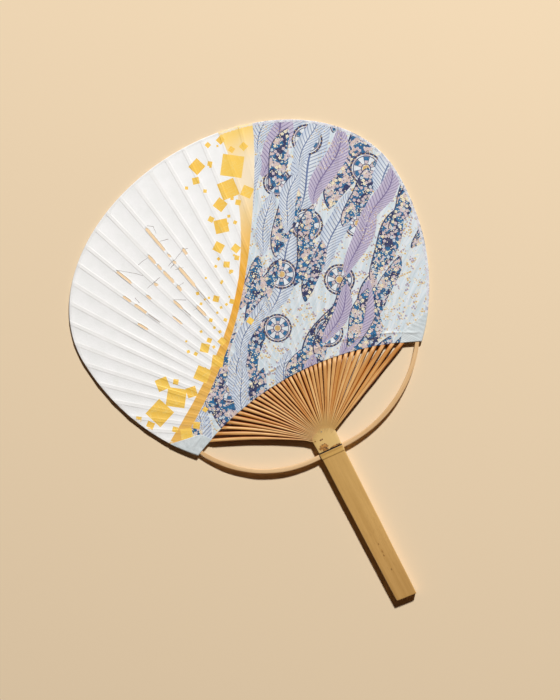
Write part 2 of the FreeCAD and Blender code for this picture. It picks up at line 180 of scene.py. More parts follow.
def rim(turn, grow=0.0):
    """The rim at a turn from its top, right turns positive: half ellipses above and below its widest line."""
    rise = np.where(np.cos(turn) > 0, TOP_RISE, LOWER_DROP) + grow
    return leaned((HALF_WIDTH + grow) * np.sin(turn), WIDEST_RISE + rise * np.cos(turn))


def last_where(holds, low, high):
    """The end of the stretch from low in which a condition holds, found by halving."""
    for _ in range(50):
        middle = (low + high) / 2
        if holds(middle):
            low = middle
        else:
            high = middle
    return low


def find_corner(side):
    """Turn from the rim's top to a lower corner, where the rim meets the circle of the lower edge."""
    def outside(turn):
        return math.hypot(*(np.array(rim(side * turn)) - EDGE_CENTRE)) > EDGE_RADIUS

    return last_where(outside, math.pi / 2, math.pi)


CORNER_TURNS = {side: find_corner(side) for side in (-1, 1)}
CORNERS = {side: np.array(rim(side * CORNER_TURNS[side])) for side in (-1, 1)}
END_BEARINGS = {side: math.atan2(*CORNERS[side]) for side in (-1, 1)}


def along_edge(side, inset, drop=0.0):
    """The point of the lower edge, or of a line a drop below it, at a distance inwards from a corner."""
    turn = np.arctan2(*(CORNERS[side] - EDGE_CENTRE)) - side * inset / EDGE_RADIUS
    return EDGE_CENTRE + (EDGE_RADIUS - drop) * np.stack([np.sin(turn), np.cos(turn)], -1)


OUTER_BEARINGS = {side: math.atan2(*along_edge(side, OUTER_RIB_INSET)) for side in (-1, 1)}
FIRST_RIB = OUTER_BEARINGS[-1]
RIB_PITCH = (OUTER_BEARINGS[1] - FIRST_RIB) / (RIB_COUNT - 1)
ROOT_WIDTH = 2 * ROOT_RADIUS * math.tan(RIB_PITCH / 2)


def find_droop():
    """Angle by which the leaf droops from the hub until its bound rim rests on the table."""
    wide, tall = HALF_WIDTH + BINDING, TOP_RISE + BINDING
    reach = leaned(0, WIDEST_RISE)[1] + math.hypot(wide * math.sin(LEAN), tall * math.cos(LEAN))
    top = PAPER_TOP + BINDING
    return math.asin(HUB_HEIGHT / math.hypot(reach, top)) - math.atan2(top, reach)


def find_thread():
    """Centre and radius of the thread's arc, which comes nearer to the lower edge at the corners."""
    way = (CORNERS[1] - EDGE_CENTRE) / EDGE_RADIUS
    reach = way * (EDGE_RADIUS + THREAD_AT_CORNER)
    drop = EDGE_RADIUS + THREAD_PEAK - reach[1]
    radius = (reach[0] ** 2 + drop ** 2) / (2 * drop)
    return EDGE_CENTRE + np.array([0, EDGE_RADIUS + THREAD_PEAK - radius]), radius


DROOP = find_droop()
THREAD_CENTRE, THREAD_RADIUS = find_thread()


def on_leaf(x, y, z):
    """Points of the leaf's frame in the part's frame, in metres: drooped about the hub and moved to it."""
    x, y, z = np.broadcast_arrays(x, y, z)
    part_y = HUB_Y + y * math.cos(DROOP) + z * math.sin(DROOP)
    part_z = HUB_HEIGHT - y * math.sin(DROOP) + z * math.cos(DROOP)
    return np.stack([x, part_y, part_z], -1) * METRE


def rim_distance(angle):
    """Distance from the hub to the rim along a bearing: where the ray meets its half ellipse."""
    run = np.sin(angle) * math.cos(LEAN) + np.cos(angle) * math.sin(LEAN)
    climb = np.cos(angle) * math.cos(LEAN) - np.sin(angle) * math.sin(LEAN)
    hits = []
    for rise in (TOP_RISE, LOWER_DROP):
        a = (run / HALF_WIDTH) ** 2 + (climb / rise) ** 2
        b = run * LEAF_SHIFT / HALF_WIDTH ** 2 + climb * WIDEST_RISE / rise ** 2
        c = (LEAF_SHIFT / HALF_WIDTH) ** 2 + (WIDEST_RISE / rise) ** 2 - 1
        hits.append((b + np.sqrt(np.maximum(b * b - a * c, 0))) / a)
    return np.where(hits[0] * climb > WIDEST_RISE, hits[0], hits[1])


def arc_distance(angle, centre, radius):
    """Distance from the hub along a bearing to an arc: where the ray leaves the arc's circle."""
    near = np.sin(angle) * centre[0] + np.cos(angle) * centre[1]
    return near + np.sqrt(near ** 2 - centre @ centre + radius ** 2)


def edge_distance(angle):
    """Distance from the hub along a bearing to the paper's lower edge."""
    return arc_distance(angle, EDGE_CENTRE, EDGE_RADIUS)


def rib_width(radius):
    """Width of a rib: narrow at the neck, full under the paper's lower edge, a little less at the tip."""
    stations = [ROOT_RADIUS, FULL_WIDTH_RADIUS, LEAF_HEIGHT + LEAF_SHIFT]
    return np.interp(radius, stations, [ROOT_WIDTH, RIB_WIDTH, RIB_TIP_WIDTH])


def paper_height(x, y, side=1):
    """Height of the paper's outer face over the middle plane: flat over each rib, sunk in the gaps between
    them with a sharp shoulder, raised over the weaving thread, and a little puckered."""
    angle, radius = np.arctan2(x, y), np.hypot(x, y)
    number = np.clip(np.round((angle - FIRST_RIB) / RIB_PITCH), 0, RIB_COUNT - 1)
    aside = np.abs(angle - FIRST_RIB - number * RIB_PITCH)
    past = aside * radius - rib_width(radius) / 2
    gap = np.maximum((radius * RIB_PITCH - rib_width(radius)) / 2, 0.3)
    corner = np.minimum(*[np.hypot(x - cx, y - cy) for cx, cy in CORNERS.values()])
    sunk = smooth(0.2, 3.2, gap) * smooth(9, 34, corner)
    shoulder = smooth(-0.15, 0.35, past)
    sag = np.sin(np.clip(past / gap, 0, 1) * np.pi / 2)
    lip = SHOULDER_LIP * np.exp(-((past + 0.1) / 0.2) ** 2)
    pucker = PUCKER * ripple(angle * LEAF_HEIGHT / 2, radius, 26, 3 + side) * shoulder
    height = PAPER_TOP + lip - sunk * (SHOULDER_DROP * shoulder + GAP_SAG * sag - pucker)
    thread = np.hypot(x - THREAD_CENTRE[0], y - THREAD_CENTRE[1]) - THREAD_RADIUS
    raised = number % 2 == (0 if side > 0 else 1)
    crest = np.where(raised, *WELT_CRESTS) + 0.04 * ripple(angle * LEAF_HEIGHT / 2, radius, 9, 17)
    welt = np.exp(-(thread / 0.8) ** 2) * smooth(0.8, 0.5, aside / RIB_PITCH)
    return height + np.maximum(crest - height, 0) * welt


# Meshes

def make_mesh(name, points, quads, places=None, weld=False):
    """A smooth mesh from points in metres and faces of four, with named places as point attributes."""
    mesh = bpy.data.meshes.new(name)
    mesh.from_pydata(points.reshape(-1, 3).tolist(), [], quads.tolist())
    for place, values in (places or {}).items():
        layer = mesh.attributes.new(place, "FLOAT_VECTOR", "POINT")
        layer.data.foreach_set("vector", np.ascontiguousarray(values, dtype=np.float32).reshape(-1))
    if weld:
        shape = bmesh.new()
        shape.from_mesh(mesh)
        bmesh.ops.remove_doubles(shape, verts=shape.verts, dist=2e-6)
        bmesh.ops.dissolve_degenerate(shape, edges=shape.edges, dist=1e-7)
        shape.to_mesh(mesh)
        shape.free()
    mesh.polygons.foreach_set("use_smooth", [True] * len(mesh.polygons))
    mesh.update()
    piece = bpy.data.objects.new(name, mesh)
    bpy.context.scene.collection.objects.link(piece)
    return piece


def grid_quads(rows, columns, around=False):
    """Faces of a grid, rows upwards and columns to the right; around joins the last column to the first."""
    row = np.arange(rows - 1)[:, None]
    column = np.arange(columns if around else columns - 1)[None, :]
    after = (column + 1) % columns
    below, above = row * columns, (row + 1) * columns
    corners = [below + column, below + after, above + after, above + column]
    return np.stack(np.broadcast_arrays(*corners), -1).reshape(-1, 4)


def thicken(piece, wall):
    """Give a skin its thickness, inwards from the face that was modelled."""
    solid = piece.modifiers.new("thickness", "SOLIDIFY")
    solid.thickness = wall * METRE
    solid.offset = -1
    solid.use_even_offset = False
    return piece


def finish_piece(piece, material, slot, *nodes):
    """Give a piece its material, let it ride with the fan and stand for its CAD nodes. The slot is not used.
    """
    piece.data.materials.clear()
    piece.data.materials.append(material)
    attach(piece, "root")
    if nodes:
        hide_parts(*nodes)
    return piece


# Shader expressions

def operator(operation):
    """A Python operator of wires, which adds one Math node."""
    return lambda wire, *others: wire.finish.maths(operation, wire, *others)


class Wire:
    """A socket that can stand in a Python sum."""

    def __init__(self, finish, socket):
        self.finish, self.socket = finish, socket

    def __rsub__(self, other):
        return self.finish.maths("SUBTRACT", other, self)

    __add__ = __radd__ = operator("ADD")
    __sub__ = operator("SUBTRACT")
    __mul__ = __rmul__ = operator("MULTIPLY")
    __truediv__ = operator("DIVIDE")
    __pow__ = operator("POWER")
    __abs__ = operator("ABSOLUTE")
    __lt__ = operator("LESS_THAN")
    __gt__ = operator("GREATER_THAN")


class Finish:
    """One material, written as expressions of wires."""

    def __init__(self, name):
        self.material = bpy.data.materials.new(name)
        self.material.use_nodes = True
        self.tree = self.material.node_tree
        self.shader = self.tree.nodes["Principled BSDF"]

    def node(self, kind, settings=None, sockets=None, out=0):
        """Any node: its type, its settings first, then the values or wires of its sockets."""
        made = self.tree.nodes.new(kind)
        for key, value in (settings or {}).items():
            if key == "stops":
                while len(made.color_ramp.elements) < len(value):
                    made.color_ramp.elements.new(1)
                for stop, (place, colour) in zip(made.color_ramp.elements, value):
                    stop.position, stop.color = place, (*colour, 1)
            else:
                setattr(made, key, value)
        for key, value in (sockets or {}).items():
            self.feed(made.inputs[key], value)
        return Wire(self, made.outputs[out])

    def feed(self, socket, value):
        """Link a wire to a socket, or set the socket's own value."""
        if isinstance(value, Wire):
            self.tree.links.new(value.socket, socket)
        elif socket.type == "RGBA":
            socket.default_value = (*value[:3], 1)
        else:
            socket.default_value = value

    def maths(self, operation, *values):
        return self.node("ShaderNodeMath", {"operation": operation}, dict(enumerate(values)))

    def least(self, a, b):
        return self.maths("MINIMUM", a, b)

    def most(self, a, b):
        return self.maths("MAXIMUM", a, b)

    def line(self, x, y, run, rise, start):
        """The sum run times x plus rise times y plus start, in two nodes."""
        return self.maths("MULTIPLY_ADD", x, run, self.maths("MULTIPLY_ADD", y, rise, start))

    def vector(self, operation, *values):
        return self.node("ShaderNodeVectorMath", {"operation": operation}, dict(enumerate(values)))

    def scaled(self, vector, factor):
        return self.node("ShaderNodeVectorMath", {"operation": "SCALE"}, {0: vector, 3: factor})

    def combine(self, x, y, z=0.0):
        return self.node("ShaderNodeCombineXYZ", None, {0: x, 1: y, 2: z})

    def parts(self, vector):
        """The three numbers of a vector."""
        wires = self.node("ShaderNodeSeparateXYZ", None, {0: vector}).socket.node.outputs
        return [Wire(self, wire) for wire in wires]

    def tints(self, colour):
        """The three numbers of a colour."""
        wires = self.node("ShaderNodeSeparateColor", None, {0: colour}).socket.node.outputs
        return [Wire(self, wire) for wire in wires]

    def mix(self, share, a, b):
        """Colour a where share is 0, colour b where it is 1."""
        return self.node("ShaderNodeMix", {"data_type": "RGBA"}, {0: share, 6: a, 7: b}, 2)

    def multiply(self, share, a, b):
        """Colour a, multiplied by colour b where share is 1."""
        settings = {"data_type": "RGBA", "blend_type": "MULTIPLY"}
        return self.node("ShaderNodeMix", settings, {0: share, 6: a, 7: b}, 2)

    def step(self, value, low, high, start=0.0, end=1.0):
        """A soft step from start to end while the value goes from low to high."""
        settings = {"interpolation_type": "SMOOTHSTEP"}
        return self.node("ShaderNodeMapRange", settings, {0: value, 1: low, 2: high, 3: start, 4: end})

    def noise(self, place, size, detail, rough=0.5, twist=0.0):
        sockets = {"Vector": place, "Scale": 1 / size, "Detail": detail}
        sockets.update({"Roughness": rough, "Distortion": twist})
        return self.node("ShaderNodeTexNoise", None, sockets)

    def cells(self, place, out, chance):
        """Cells of size 1 in the plane: out is the nearest cell's Color or the Position of its middle."""
        sockets = {"Vector": place, "Scale": 1.0, "Randomness": chance}
        return self.node("ShaderNodeTexVoronoi", {"voronoi_dimensions": "2D"}, sockets, out)

    def draw(self, place, out):
        """One random number or colour for each whole-numbered place."""
        return self.node("ShaderNodeTexWhiteNoise", {"noise_dimensions": "3D"}, {"Vector": place}, out)

    def place(self, name):
        """A point attribute of the piece."""
        return self.node("ShaderNodeAttribute", {"attribute_name": name}, None, "Vector")

    def object_place(self):
        """Object coordinates in millimetres."""
        return self.scaled(self.node("ShaderNodeTexCoord", None, None, "Object"), 1000.0)

    def bump(self, height, depth):
        sockets = {"Strength": 1.0, "Distance": depth * METRE, "Height": height}
        return self.node("ShaderNodeBump", None, sockets)

    def done(self, **sockets):
        """Feed the shader's own sockets, with spaces written as underscores, and give the material."""
        for key, value in sockets.items():
            self.feed(self.shader.inputs[key.replace("_", " ")], value)
        return self.material


def tone(red, green, blue):
    """A colour given in the usual 0 to 255 steps, as linear light."""
    shares = np.array([red, green, blue]) / 255
    return tuple(np.where(shares <= 0.04045, shares / 12.92, ((shares + 0.055) / 1.055) ** 2.4).tolist())


# Papers

HALF_COLUMNS = np.array([0.4, 0.85, 1.1, 1.3, 1.5, 1.75])
RIB_COLUMNS = np.concatenate([-HALF_COLUMNS[::-1], [0.0], HALF_COLUMNS])
MIDDLE = len(HALF_COLUMNS)
GAP_SHARES = np.array([0.25, 0.5, 0.75])
MARGIN_SHARES = np.linspace(0, 1, 9)[1:]


def row_weights():
    """How much of the edge's, the thread's and the rim's distance and of the welt's half width goes into each
    row of a sheet: four rows from the edge to the welt, nine across it, and the rest up to the rim."""
    below = np.array([0.0, 0.07, 0.4, 0.7])
    over = np.linspace(-1, 1, 9)
    spans = [np.linspace(0, 0.34, 8), np.linspace(0.34, 0.83, 51), np.linspace(0.83, 0.985, 7)]
    up = np.concatenate([span[1:] for span in spans] + [[0.995, 1]])
    return np.concatenate([
        np.stack([1 - below, below, 0 * below, -below], -1),
        np.stack([0 * over, 1 + 0 * over, 0 * over, over], -1),
        np.stack([0 * up, 1 - up, up, 1 - up], -1),
    ])


ROWS = row_weights()


def row_distance(angle):
    """Distance from the hub of the points of each row, whose bearings are given row by row."""
    low, high = edge_distance(angle), rim_distance(angle)
    thread = np.minimum(arc_distance(angle, THREAD_CENTRE, THREAD_RADIUS), low + 0.45 * (high - low))
    half = WELT_HALF * np.minimum(1, (high - low) / 20)
    return (np.stack([low, thread, high, half], -1) * ROWS[:, None, :]).sum(-1)


def sheet_grid(offsets):
    """Bearing and distance of each grid point: columns keep their offsets from the ribs, and the gaps between
    the ribs and the margins beside the outer ones are divided evenly. Offsets are rows by ribs by columns."""
    ribs = FIRST_RIB + RIB_PITCH * np.arange(RIB_COUNT)
    radius = row_distance(ribs[None, :])[:, :, None]
    room = np.minimum(1, 0.42 * RIB_PITCH * radius / HALF_COLUMNS[-1])
    on_ribs = ribs[None, :, None] + offsets * room / radius
    left, right = on_ribs[:, :-1, -1:], on_ribs[:, 1:, :1]
    in_gaps = left + (right - left) * GAP_SHARES
    body = np.concatenate([on_ribs[:, :-1], in_gaps], -1).reshape(len(ROWS), -1)
    first, last = on_ribs[:, 0, :1], on_ribs[:, -1, -1:]
    margin_left = (first + (END_BEARINGS[-1] - first) * MARGIN_SHARES)[:, ::-1]
    margin_right = last + (END_BEARINGS[1] - last) * MARGIN_SHARES
    angle = np.concatenate([margin_left, body, on_ribs[:, -1], margin_right], 1)
    return angle, row_distance(angle)


def rib_column(number, place):
    """Index of a grid column: the given place among the columns of one rib."""
    return len(MARGIN_SHARES) + number * (len(RIB_COLUMNS) + len(GAP_SHARES)) + place


def flow_place(x, y):
    """Place along and across the slanting streams of the print, which wander and fan out a little."""
    slant = np.radians(33) + 0.0011 * x
    along = x * np.sin(slant) + y * np.cos(slant)
    across = x * np.cos(slant) - y * np.sin(slant)
    return along, across + 6 * np.sin(along / 37 + 0.4) + 3 * np.sin(along / 19 + across / 41)


def strip_side(y, column):
    """One side of the gold strip at a height: a smooth curve through the rows of its table."""
    return np.polyval(np.polyfit(STRIP[:, 0] / 100, STRIP[:, column], len(STRIP) - 1), y / 100)


def leaf_places(x, y):
    """Attributes of the leaf's points: place in the streams, distance past the strip's right and left side
    with the height, and number of the rib with the distance from the hub."""
    along, across = flow_place(x, y)
    number = (np.arctan2(x, y) - FIRST_RIB) / RIB_PITCH
    return {
        "flow": np.stack([along, across, 0 * x], -1),
        "strip": np.stack([x - strip_side(y, 2), x - strip_side(y, 1), y], -1),
        "rib": np.stack([number, np.hypot(x, y), 0 * x], -1),
    }


def front_sheet():
    """The decorated paper: the ridged sheet, slit where it is worn, with ragged and partly lifted lips."""
    chance = np.random.default_rng(12)
    offsets = np.tile(RIB_COLUMNS, (len(ROWS), RIB_COUNT, 1))
    lifts = np.zeros_like(offsets)
    gone = []
    for number, start, end, bare in TEARS:
        radius = row_distance(np.array([[FIRST_RIB + RIB_PITCH * number]]))[:, 0]
        low = int(np.argmin(np.abs(radius - start * LEAF_HEIGHT)))
        high = max(int(np.argmin(np.abs(radius - end * LEAF_HEIGHT))), low + 2)
        worn = slice(low, high + 1)
        for side in (-1, 1):
            lens = np.ones(high - low + 1)
            lens[[0, -1]] = chance.uniform(0.1, 1.0, 2) * min(1, bare / 0.6)
            lip = SHUT_HALF_WIDTH + bare * TEAR_HALF_WIDTH * lens * chance.uniform(0.75, 1.0, len(lens))
            most = chance.uniform(*LIP_LIFTS[side])
            lift = most * lens * chance.uniform(0.6, 1.2, len(lens))
            for place in range(LIP_COLUMNS):
                column = MIDDLE + side * (place + 1)
                share = place / LIP_COLUMNS
                offsets[worn, number, column] = side * (lip + (LIP_REACH - lip) * share)
                lifts[worn, number, column] = lift * (1 - share)
        gone.append((number, low, high))
    angle, radius = sheet_grid(offsets)
    x, y = radius * np.sin(angle), radius * np.cos(angle)
    height = paper_height(x, y)
    for number in sorted({row[0] for row in TEARS}):
        first = rib_column(number, 0)
        height[:, first:first + len(RIB_COLUMNS)] += lifts[:, number]
    rows, columns = angle.shape
    quads = grid_quads(rows, columns).reshape(rows - 1, columns - 1, 4)
    keep = np.ones(quads.shape[:2], bool)
    for number, low, high in gone:
        keep[low:high, rib_column(number, MIDDLE - 1):rib_column(number, MIDDLE + 1)] = False
    piece = make_mesh("decorated_leaf", on_leaf(x, y, height), quads[keep], leaf_places(x, y), weld=True)
    return thicken(piece, PAPER)


def back_sheet():
    """The plain paper on the other face: the same ridged sheet, turned over and whole."""
    angle, radius = sheet_grid(np.tile(RIB_COLUMNS, (len(ROWS), RIB_COUNT, 1)))
    x, y = radius * np.sin(angle), radius * np.cos(angle)
    points = on_leaf(x, y, -paper_height(x, y, -1))
    quads = grid_quads(*angle.shape)[:, ::-1]
    return thicken(make_mesh("plain_leaf", points, quads, leaf_places(x, y), weld=True), PAPER)


def rim_strip():
    """The strip folded over the rim: a U-shaped profile carried from corner to corner along the rim."""
    turn = np.linspace(-CORNER_TURNS[-1], CORNER_TURNS[1], 760)[:, None]
    inset = np.array([BINDING_WIDTH, 2.0, 1.2, 0.55, 0.16, -0.04, -0.14])
    share = np.array([1.0, 1.0, 1.0, 1.0, 0.9, 0.62, 0.0])
    rise = np.array([-0.03, 0.0, 0.02, 0.03, 0.03, 0.03, 0.03])
    wander = 1 + 0.09 * ripple(turn * HALF_WIDTH, 0, 21, 31) * smooth(0.6, 2.4, inset)
    x, y = rim(turn, -inset * wander)
    faces = []
    for side in (1, -1):
        height = paper_height(x, y, side) + rise * (1 + 0.4 * ripple(x, y, 5, 40 + side))
        faces.append(side * height * share)
    xs = np.concatenate([x, x[:, -2::-1]], 1)
    ys = np.concatenate([y, y[:, -2::-1]], 1)
    zs = np.concatenate([faces[0], faces[1][:, -2::-1]], 1)
    places = leaf_places(xs, ys)
    places["rib"][..., 2] = smooth(0.0, 0.4, zs)
    quads = grid_quads(*xs.shape)[:, ::-1]
    return thicken(make_mesh("rim_strip", on_leaf(xs, ys, zs), quads, places), BINDING_WALL)


def corner_patch(name, side):
    """The patch folded over a lower corner: rows run from the folded edge, along the rim and the lower edge,
    to the patch's inner outline on each face."""
    turn = CORNER_TURNS[side]
    steps = np.linspace(0, 1, 34)
    speed = math.hypot(HALF_WIDTH * math.cos(turn), LOWER_DROP * math.sin(turn))
    rim_line = np.stack(rim(side * (turn - EAR_RIM_LENGTH / speed * (1 - steps)), 2 * BINDING), -1)
    edge_line = along_edge(side, EAR_EDGE_LENGTH * steps[1:], 2 * BINDING)
    fold = np.concatenate([rim_line, edge_line])
    start, end = fold[0], fold[-1]
    up_rim = (start - CORNERS[side]) / np.hypot(*(start - CORNERS[side]))
    knee = end + up_rim * EAR_INNER_LENGTH
    inner = np.concatenate([start + (knee - start) * steps[:, None], knee + (end - knee) * steps[1:, None]])
    rows = np.linspace(0.02, 1, 22)[:, None, None]
    flat = fold + (inner - fold) * rows
    x, y = flat[..., 0], flat[..., 1]
    crease = 0.5 * ripple(x * 1.5 + y, y * 0.4 - x, 7, 51 + side)
    crease = crease + np.abs(ripple(x, y * 1.3, 11, 61 + side)) - 0.6
    pleats = np.linspace(0, 14 * 2 * np.pi, len(fold))
    crease = crease + 0.8 * np.sin(pleats + 1.5 * ripple(x, y, 14, 91 + side))
    rows = rows[..., 0]
    faces = []
    for face in (1, -1):
        height = paper_height(x, y, face) + EAR_LIFT + 0.09 * crease * smooth(0, 0.2, rows)
        faces.append(face * height * (0.7 + 0.3 * smooth(0, 0.06, rows)))
    xs = np.concatenate([x[::-1], fold[None, :, 0], x])
    ys = np.concatenate([y[::-1], fold[None, :, 1], y])
    zs = np.concatenate([faces[0][::-1], 0 * fold[None, :, 0], faces[1]])
    quads = grid_quads(*xs.shape)
    if side > 0:
        quads = quads[:, ::-1]
    return thicken(make_mesh(name, on_leaf(xs, ys, zs), quads, weld=True), EAR_WALL)


# Bamboo

def drawn_in(ring):
    """A ring of points drawn in to its middle, to close the end of a body."""
    return ring.mean(1, keepdims=True) + 0 * ring


def tube(name, rings, places):
    """A closed body from rings of points in metres, stations by points round, each end drawn to a point."""
    points = np.concatenate([drawn_in(rings[:1]), rings, drawn_in(rings[-1:])])
    places = {key: np.concatenate([value[:1], value, value[-1:]]) for key, value in places.items()}
    return make_mesh(name, points, grid_quads(*points.shape[:2], around=True), places, weld=True)


def soft_square(count, power):
    """A rounded square outline between -1 and 1: a superellipse, anticlockwise."""
    turn = np.linspace(0, 2 * np.pi, count, endpoint=False)
    across, up = np.round(np.cos(turn), 9), np.round(np.sin(turn), 9)
    return np.sign(across) * np.abs(across) ** power, np.sign(up) * np.abs(up) ** power


def rib_strip(number):
    """One split rib: a strip that starts inside the neck, deep, narrow and square, and turns flat, wide and
    rounded towards the rim. Between neck and paper it bends inwards, twists and varies a little, and
    the left-hand ones leave the neck in a short curve."""
    chance = np.random.default_rng(200 + number)
    angle = FIRST_RIB + RIB_PITCH * number
    low, end = float(edge_distance(angle)), float(rim_distance(angle)) - RIB_TIP_GAP
    radius = np.concatenate([np.linspace(RIB_START, low + 6, 46), np.linspace(low + 6, end, 22)[1:]])[:, None]
    free = np.sin(np.pi * np.clip((radius - 12) / (low - 10), 0, 1))
    inwards = (1.7 if angle < 0 else -0.5) * (angle / FIRST_RIB) ** 2 * free
    bend = inwards + chance.normal(0, 0.2) * free
    bend = bend + chance.normal(0, 0.1) * np.sin(2 * np.pi * radius / low) * free
    if angle < 0:
        bend = bend - 1.1 * (angle / FIRST_RIB) ** 8 * np.exp(-((radius - 9) / 4) ** 2)
    lift = chance.normal(0, 0.16) * free
    twist = chance.normal(0, 0.1) * free
    vary = chance.normal(-0.04, 0.05) + 0.05 * ripple(radius, 0, 17, 300 + number)
    # The free stretch is widest on the right and narrowest on the left
    full = 0.16 + 0.34 * math.exp(-((angle - math.radians(43)) / math.radians(28)) ** 2)
    full = full - 0.12 * smooth(math.radians(-12), math.radians(-34), angle)
    room = np.maximum(0.97 * RIB_PITCH * radius, ROOT_WIDTH)
    wide = np.minimum(rib_width(radius) * (1 + np.sqrt(np.abs(free)) * (vary + full)), room)
    stations = [ROOT_RADIUS, low - THINNED_STRETCH, low]
    deep = np.interp(radius, stations, [ROOT_DEPTH, FREE_DEPTH, RIB_DEPTH - 0.02])
    across, up = soft_square(16, np.interp(radius, [ROOT_RADIUS, 26], [0.15, 0.5]))
    # Height round the section, from which the ribs' finish paints shade on their sides and undersides
    share = up - 0.45 * np.abs(across) ** 5
    across, up = across * wide / 2, up * deep / 2
    side = bend + across * np.cos(twist) - up * np.sin(twist)
    z = lift + across * np.sin(twist) + up * np.cos(twist)
    x = radius * math.sin(angle) + side * math.cos(angle)
    y = radius * math.cos(angle) - side * math.sin(angle)
    places = {
        "grain": np.stack([across + 7 * number, radius + 0 * x, up], -1)[:, ::-1],
        "span": np.stack([radius + 0 * x, radius - low + 0 * x, share], -1)[:, ::-1],
    }
    return tube("rib_strip_%02d" % (number + 1), on_leaf(x, y, z)[:, ::-1], places)


def bow_arm(side):
    """Radius and sweep of a bow arm: tangent to the straight middle, through its place near the corner, and
    up to a margin past the thread's arc."""
    start = np.array([side * BOW_STRAIGHT, -BOW_BELOW_HUB])
    reach = along_edge(side, BOW_INSET) - start
    radius = (reach @ reach) / (2 * reach[1])

    def inside(sweep):
        tip = start + radius * np.array([side * math.sin(sweep), 1 - math.cos(sweep)])
        return math.hypot(*(tip - THREAD_CENTRE)) < THREAD_RADIUS + BOW_END_MARGIN

    return radius, last_where(inside, 0.0, math.pi / 2)


def bow_line():
    """The bow's middle line from left tip to right tip: an arm on a circle, a straight, another arm."""
    arms = []
    for side in (-1, 1):
        radius, sweep = bow_arm(side)
        turn = np.linspace(0, sweep, 90)
        rise = radius * (1 - np.cos(turn)) - BOW_BELOW_HUB
        arms.append(np.stack([side * (BOW_STRAIGHT + radius * np.sin(turn)), rise], -1))
    straight = np.linspace(-BOW_STRAIGHT, BOW_STRAIGHT, 12)[1:-1]
    middle = np.stack([straight, np.full(len(straight), -BOW_BELOW_HUB)], -1)
    return np.concatenate([arms[0][::-1], middle, arms[1]])


def bent_bow():
    """A whittled rod carried along the bow's line, thinned flat where it goes between the papers."""
    line = bow_line()
    run = np.gradient(line, axis=0)
    run = run / np.hypot(run[:, :1], run[:, 1:])
    along = np.append(0, np.cumsum(np.hypot(*np.diff(line, axis=0).T)))[:, None]
    left = along_edge(-1, BOW_INSET)[0] + BOW_FLAT_MARGIN
    right = along_edge(1, BOW_INSET)[0] - BOW_FLAT_MARGIN
    stations = [left, left + BOW_TAPER, right - BOW_TAPER, right]
    depth = np.interp(line[:, :1], stations, BOW_HALF_DEPTHS)
    end = along.max()
    width = np.interp(along, [0, 4, 30, end - 30, end - 4, end], BOW_HALF_WIDTHS)
    across, up = soft_square(24, 0.42)
    knife = 0.97 + 0.03 * ripple(across * 2.2 + up, along * 0.12, 3.1, 71)
    across, up = width * across * knife, depth * up * knife
    x = line[:, :1] - run[:, 1:] * across
    y = line[:, 1:] + run[:, :1] * across
    return tube("bent_bow", on_leaf(x, y, up), {"grain": np.stack([across, along + 0 * x, up], -1)})


def flat_handle():
    """Grip, node ring and neck in one length of bamboo: a rounded bar whose width and thickness change along
    it, with the node's groove, and whose neck ends on the round line where the ribs leave it."""
    end = -NODE_Y
    grip = np.linspace(end + END_BEVEL[-1], RING_START - 0.6, 60)
    node = np.linspace(RING_START - 0.4, NECK_START, 46)
    y_body = np.concatenate([end + END_BEVEL[:-1], grip, node])
    share = np.linspace(0, 1, 16)[1:]
    grown = np.append(np.zeros(len(y_body)), share)[:, None]
    y_line = np.append(y_body, np.full(len(share), NECK_START))[:, None]
    half = np.interp(y_line, [end, NODE_Y], [GRIP_END_WIDTH / 2, NODE_WIDTH / 2]) + 0.5 * grown
    ring = smooth(RING_START - 0.25, RING_START + 0.25, y_line) * (1 - smooth(-0.25, 0.0, y_line - NODE_Y))
    groove = smooth(-0.12, 0.02, y_line - NODE_Y) * (1 - smooth(0.45, 0.65, y_line - NODE_Y))
    chamfer = np.interp(y_line - end, END_BEVEL, END_CHAMFER)
    raised = 0.93 * RING_RISE * ring
    root_middle = HUB_HEIGHT - ROOT_RADIUS * math.sin(DROOP)
    root_low, root_high = root_middle - ROOT_DEPTH / 2 + 0.12, root_middle + ROOT_DEPTH / 2 - 0.12
    low = chamfer + root_low * grown
    high = GRIP_DEPTH - chamfer + raised - GROOVE_DEPTH * groove + (root_high - GRIP_DEPTH) * grown
    half = half + raised - chamfer
    across, up = soft_square(72, 0.16)
    wave = 0.05 * ripple(y_line, across * 9, 40, 81) * (1 - grown)
    x = across * half + wave * np.abs(across) ** 6 * np.sign(across)
    crown = -0.12 * across ** 2
    z = (low + high) / 2 + up * (high - low) / 2 + np.maximum(up, 0) * (crown * (1 - grown) + 0.4 * wave)
    arc = HUB_Y + np.sqrt(np.maximum((ROOT_RADIUS + 0.4) ** 2 - x ** 2, 0))
    y = y_line + (arc - y_line) * grown
    slant_end = smooth(SLANT_REACH, 0, y_line - end) * (END_SLANT[0] + END_SLANT[1] * x)
    slant_node = smooth(RING_START - SLANT_REACH, RING_START, y_line) * (NODE_SLANT[0] + NODE_SLANT[1] * x)
    y = y + slant_end + slant_node * (1 - grown)
    last = x[-1:], y[-1:] + 0.02, 0 * z[-1:] + root_middle
    x, y, z = [np.concatenate([body, tip]) for body, tip in zip((x, y, z), last)]
    rings = np.stack([x, y, z], -1) * METRE
    points = np.concatenate([drawn_in(rings[:1]), rings])
    quads = grid_quads(*points.shape[:2], around=True)[:, ::-1]
    return make_mesh("flat_handle", points, quads, weld=True)


# Finishes of the bamboo

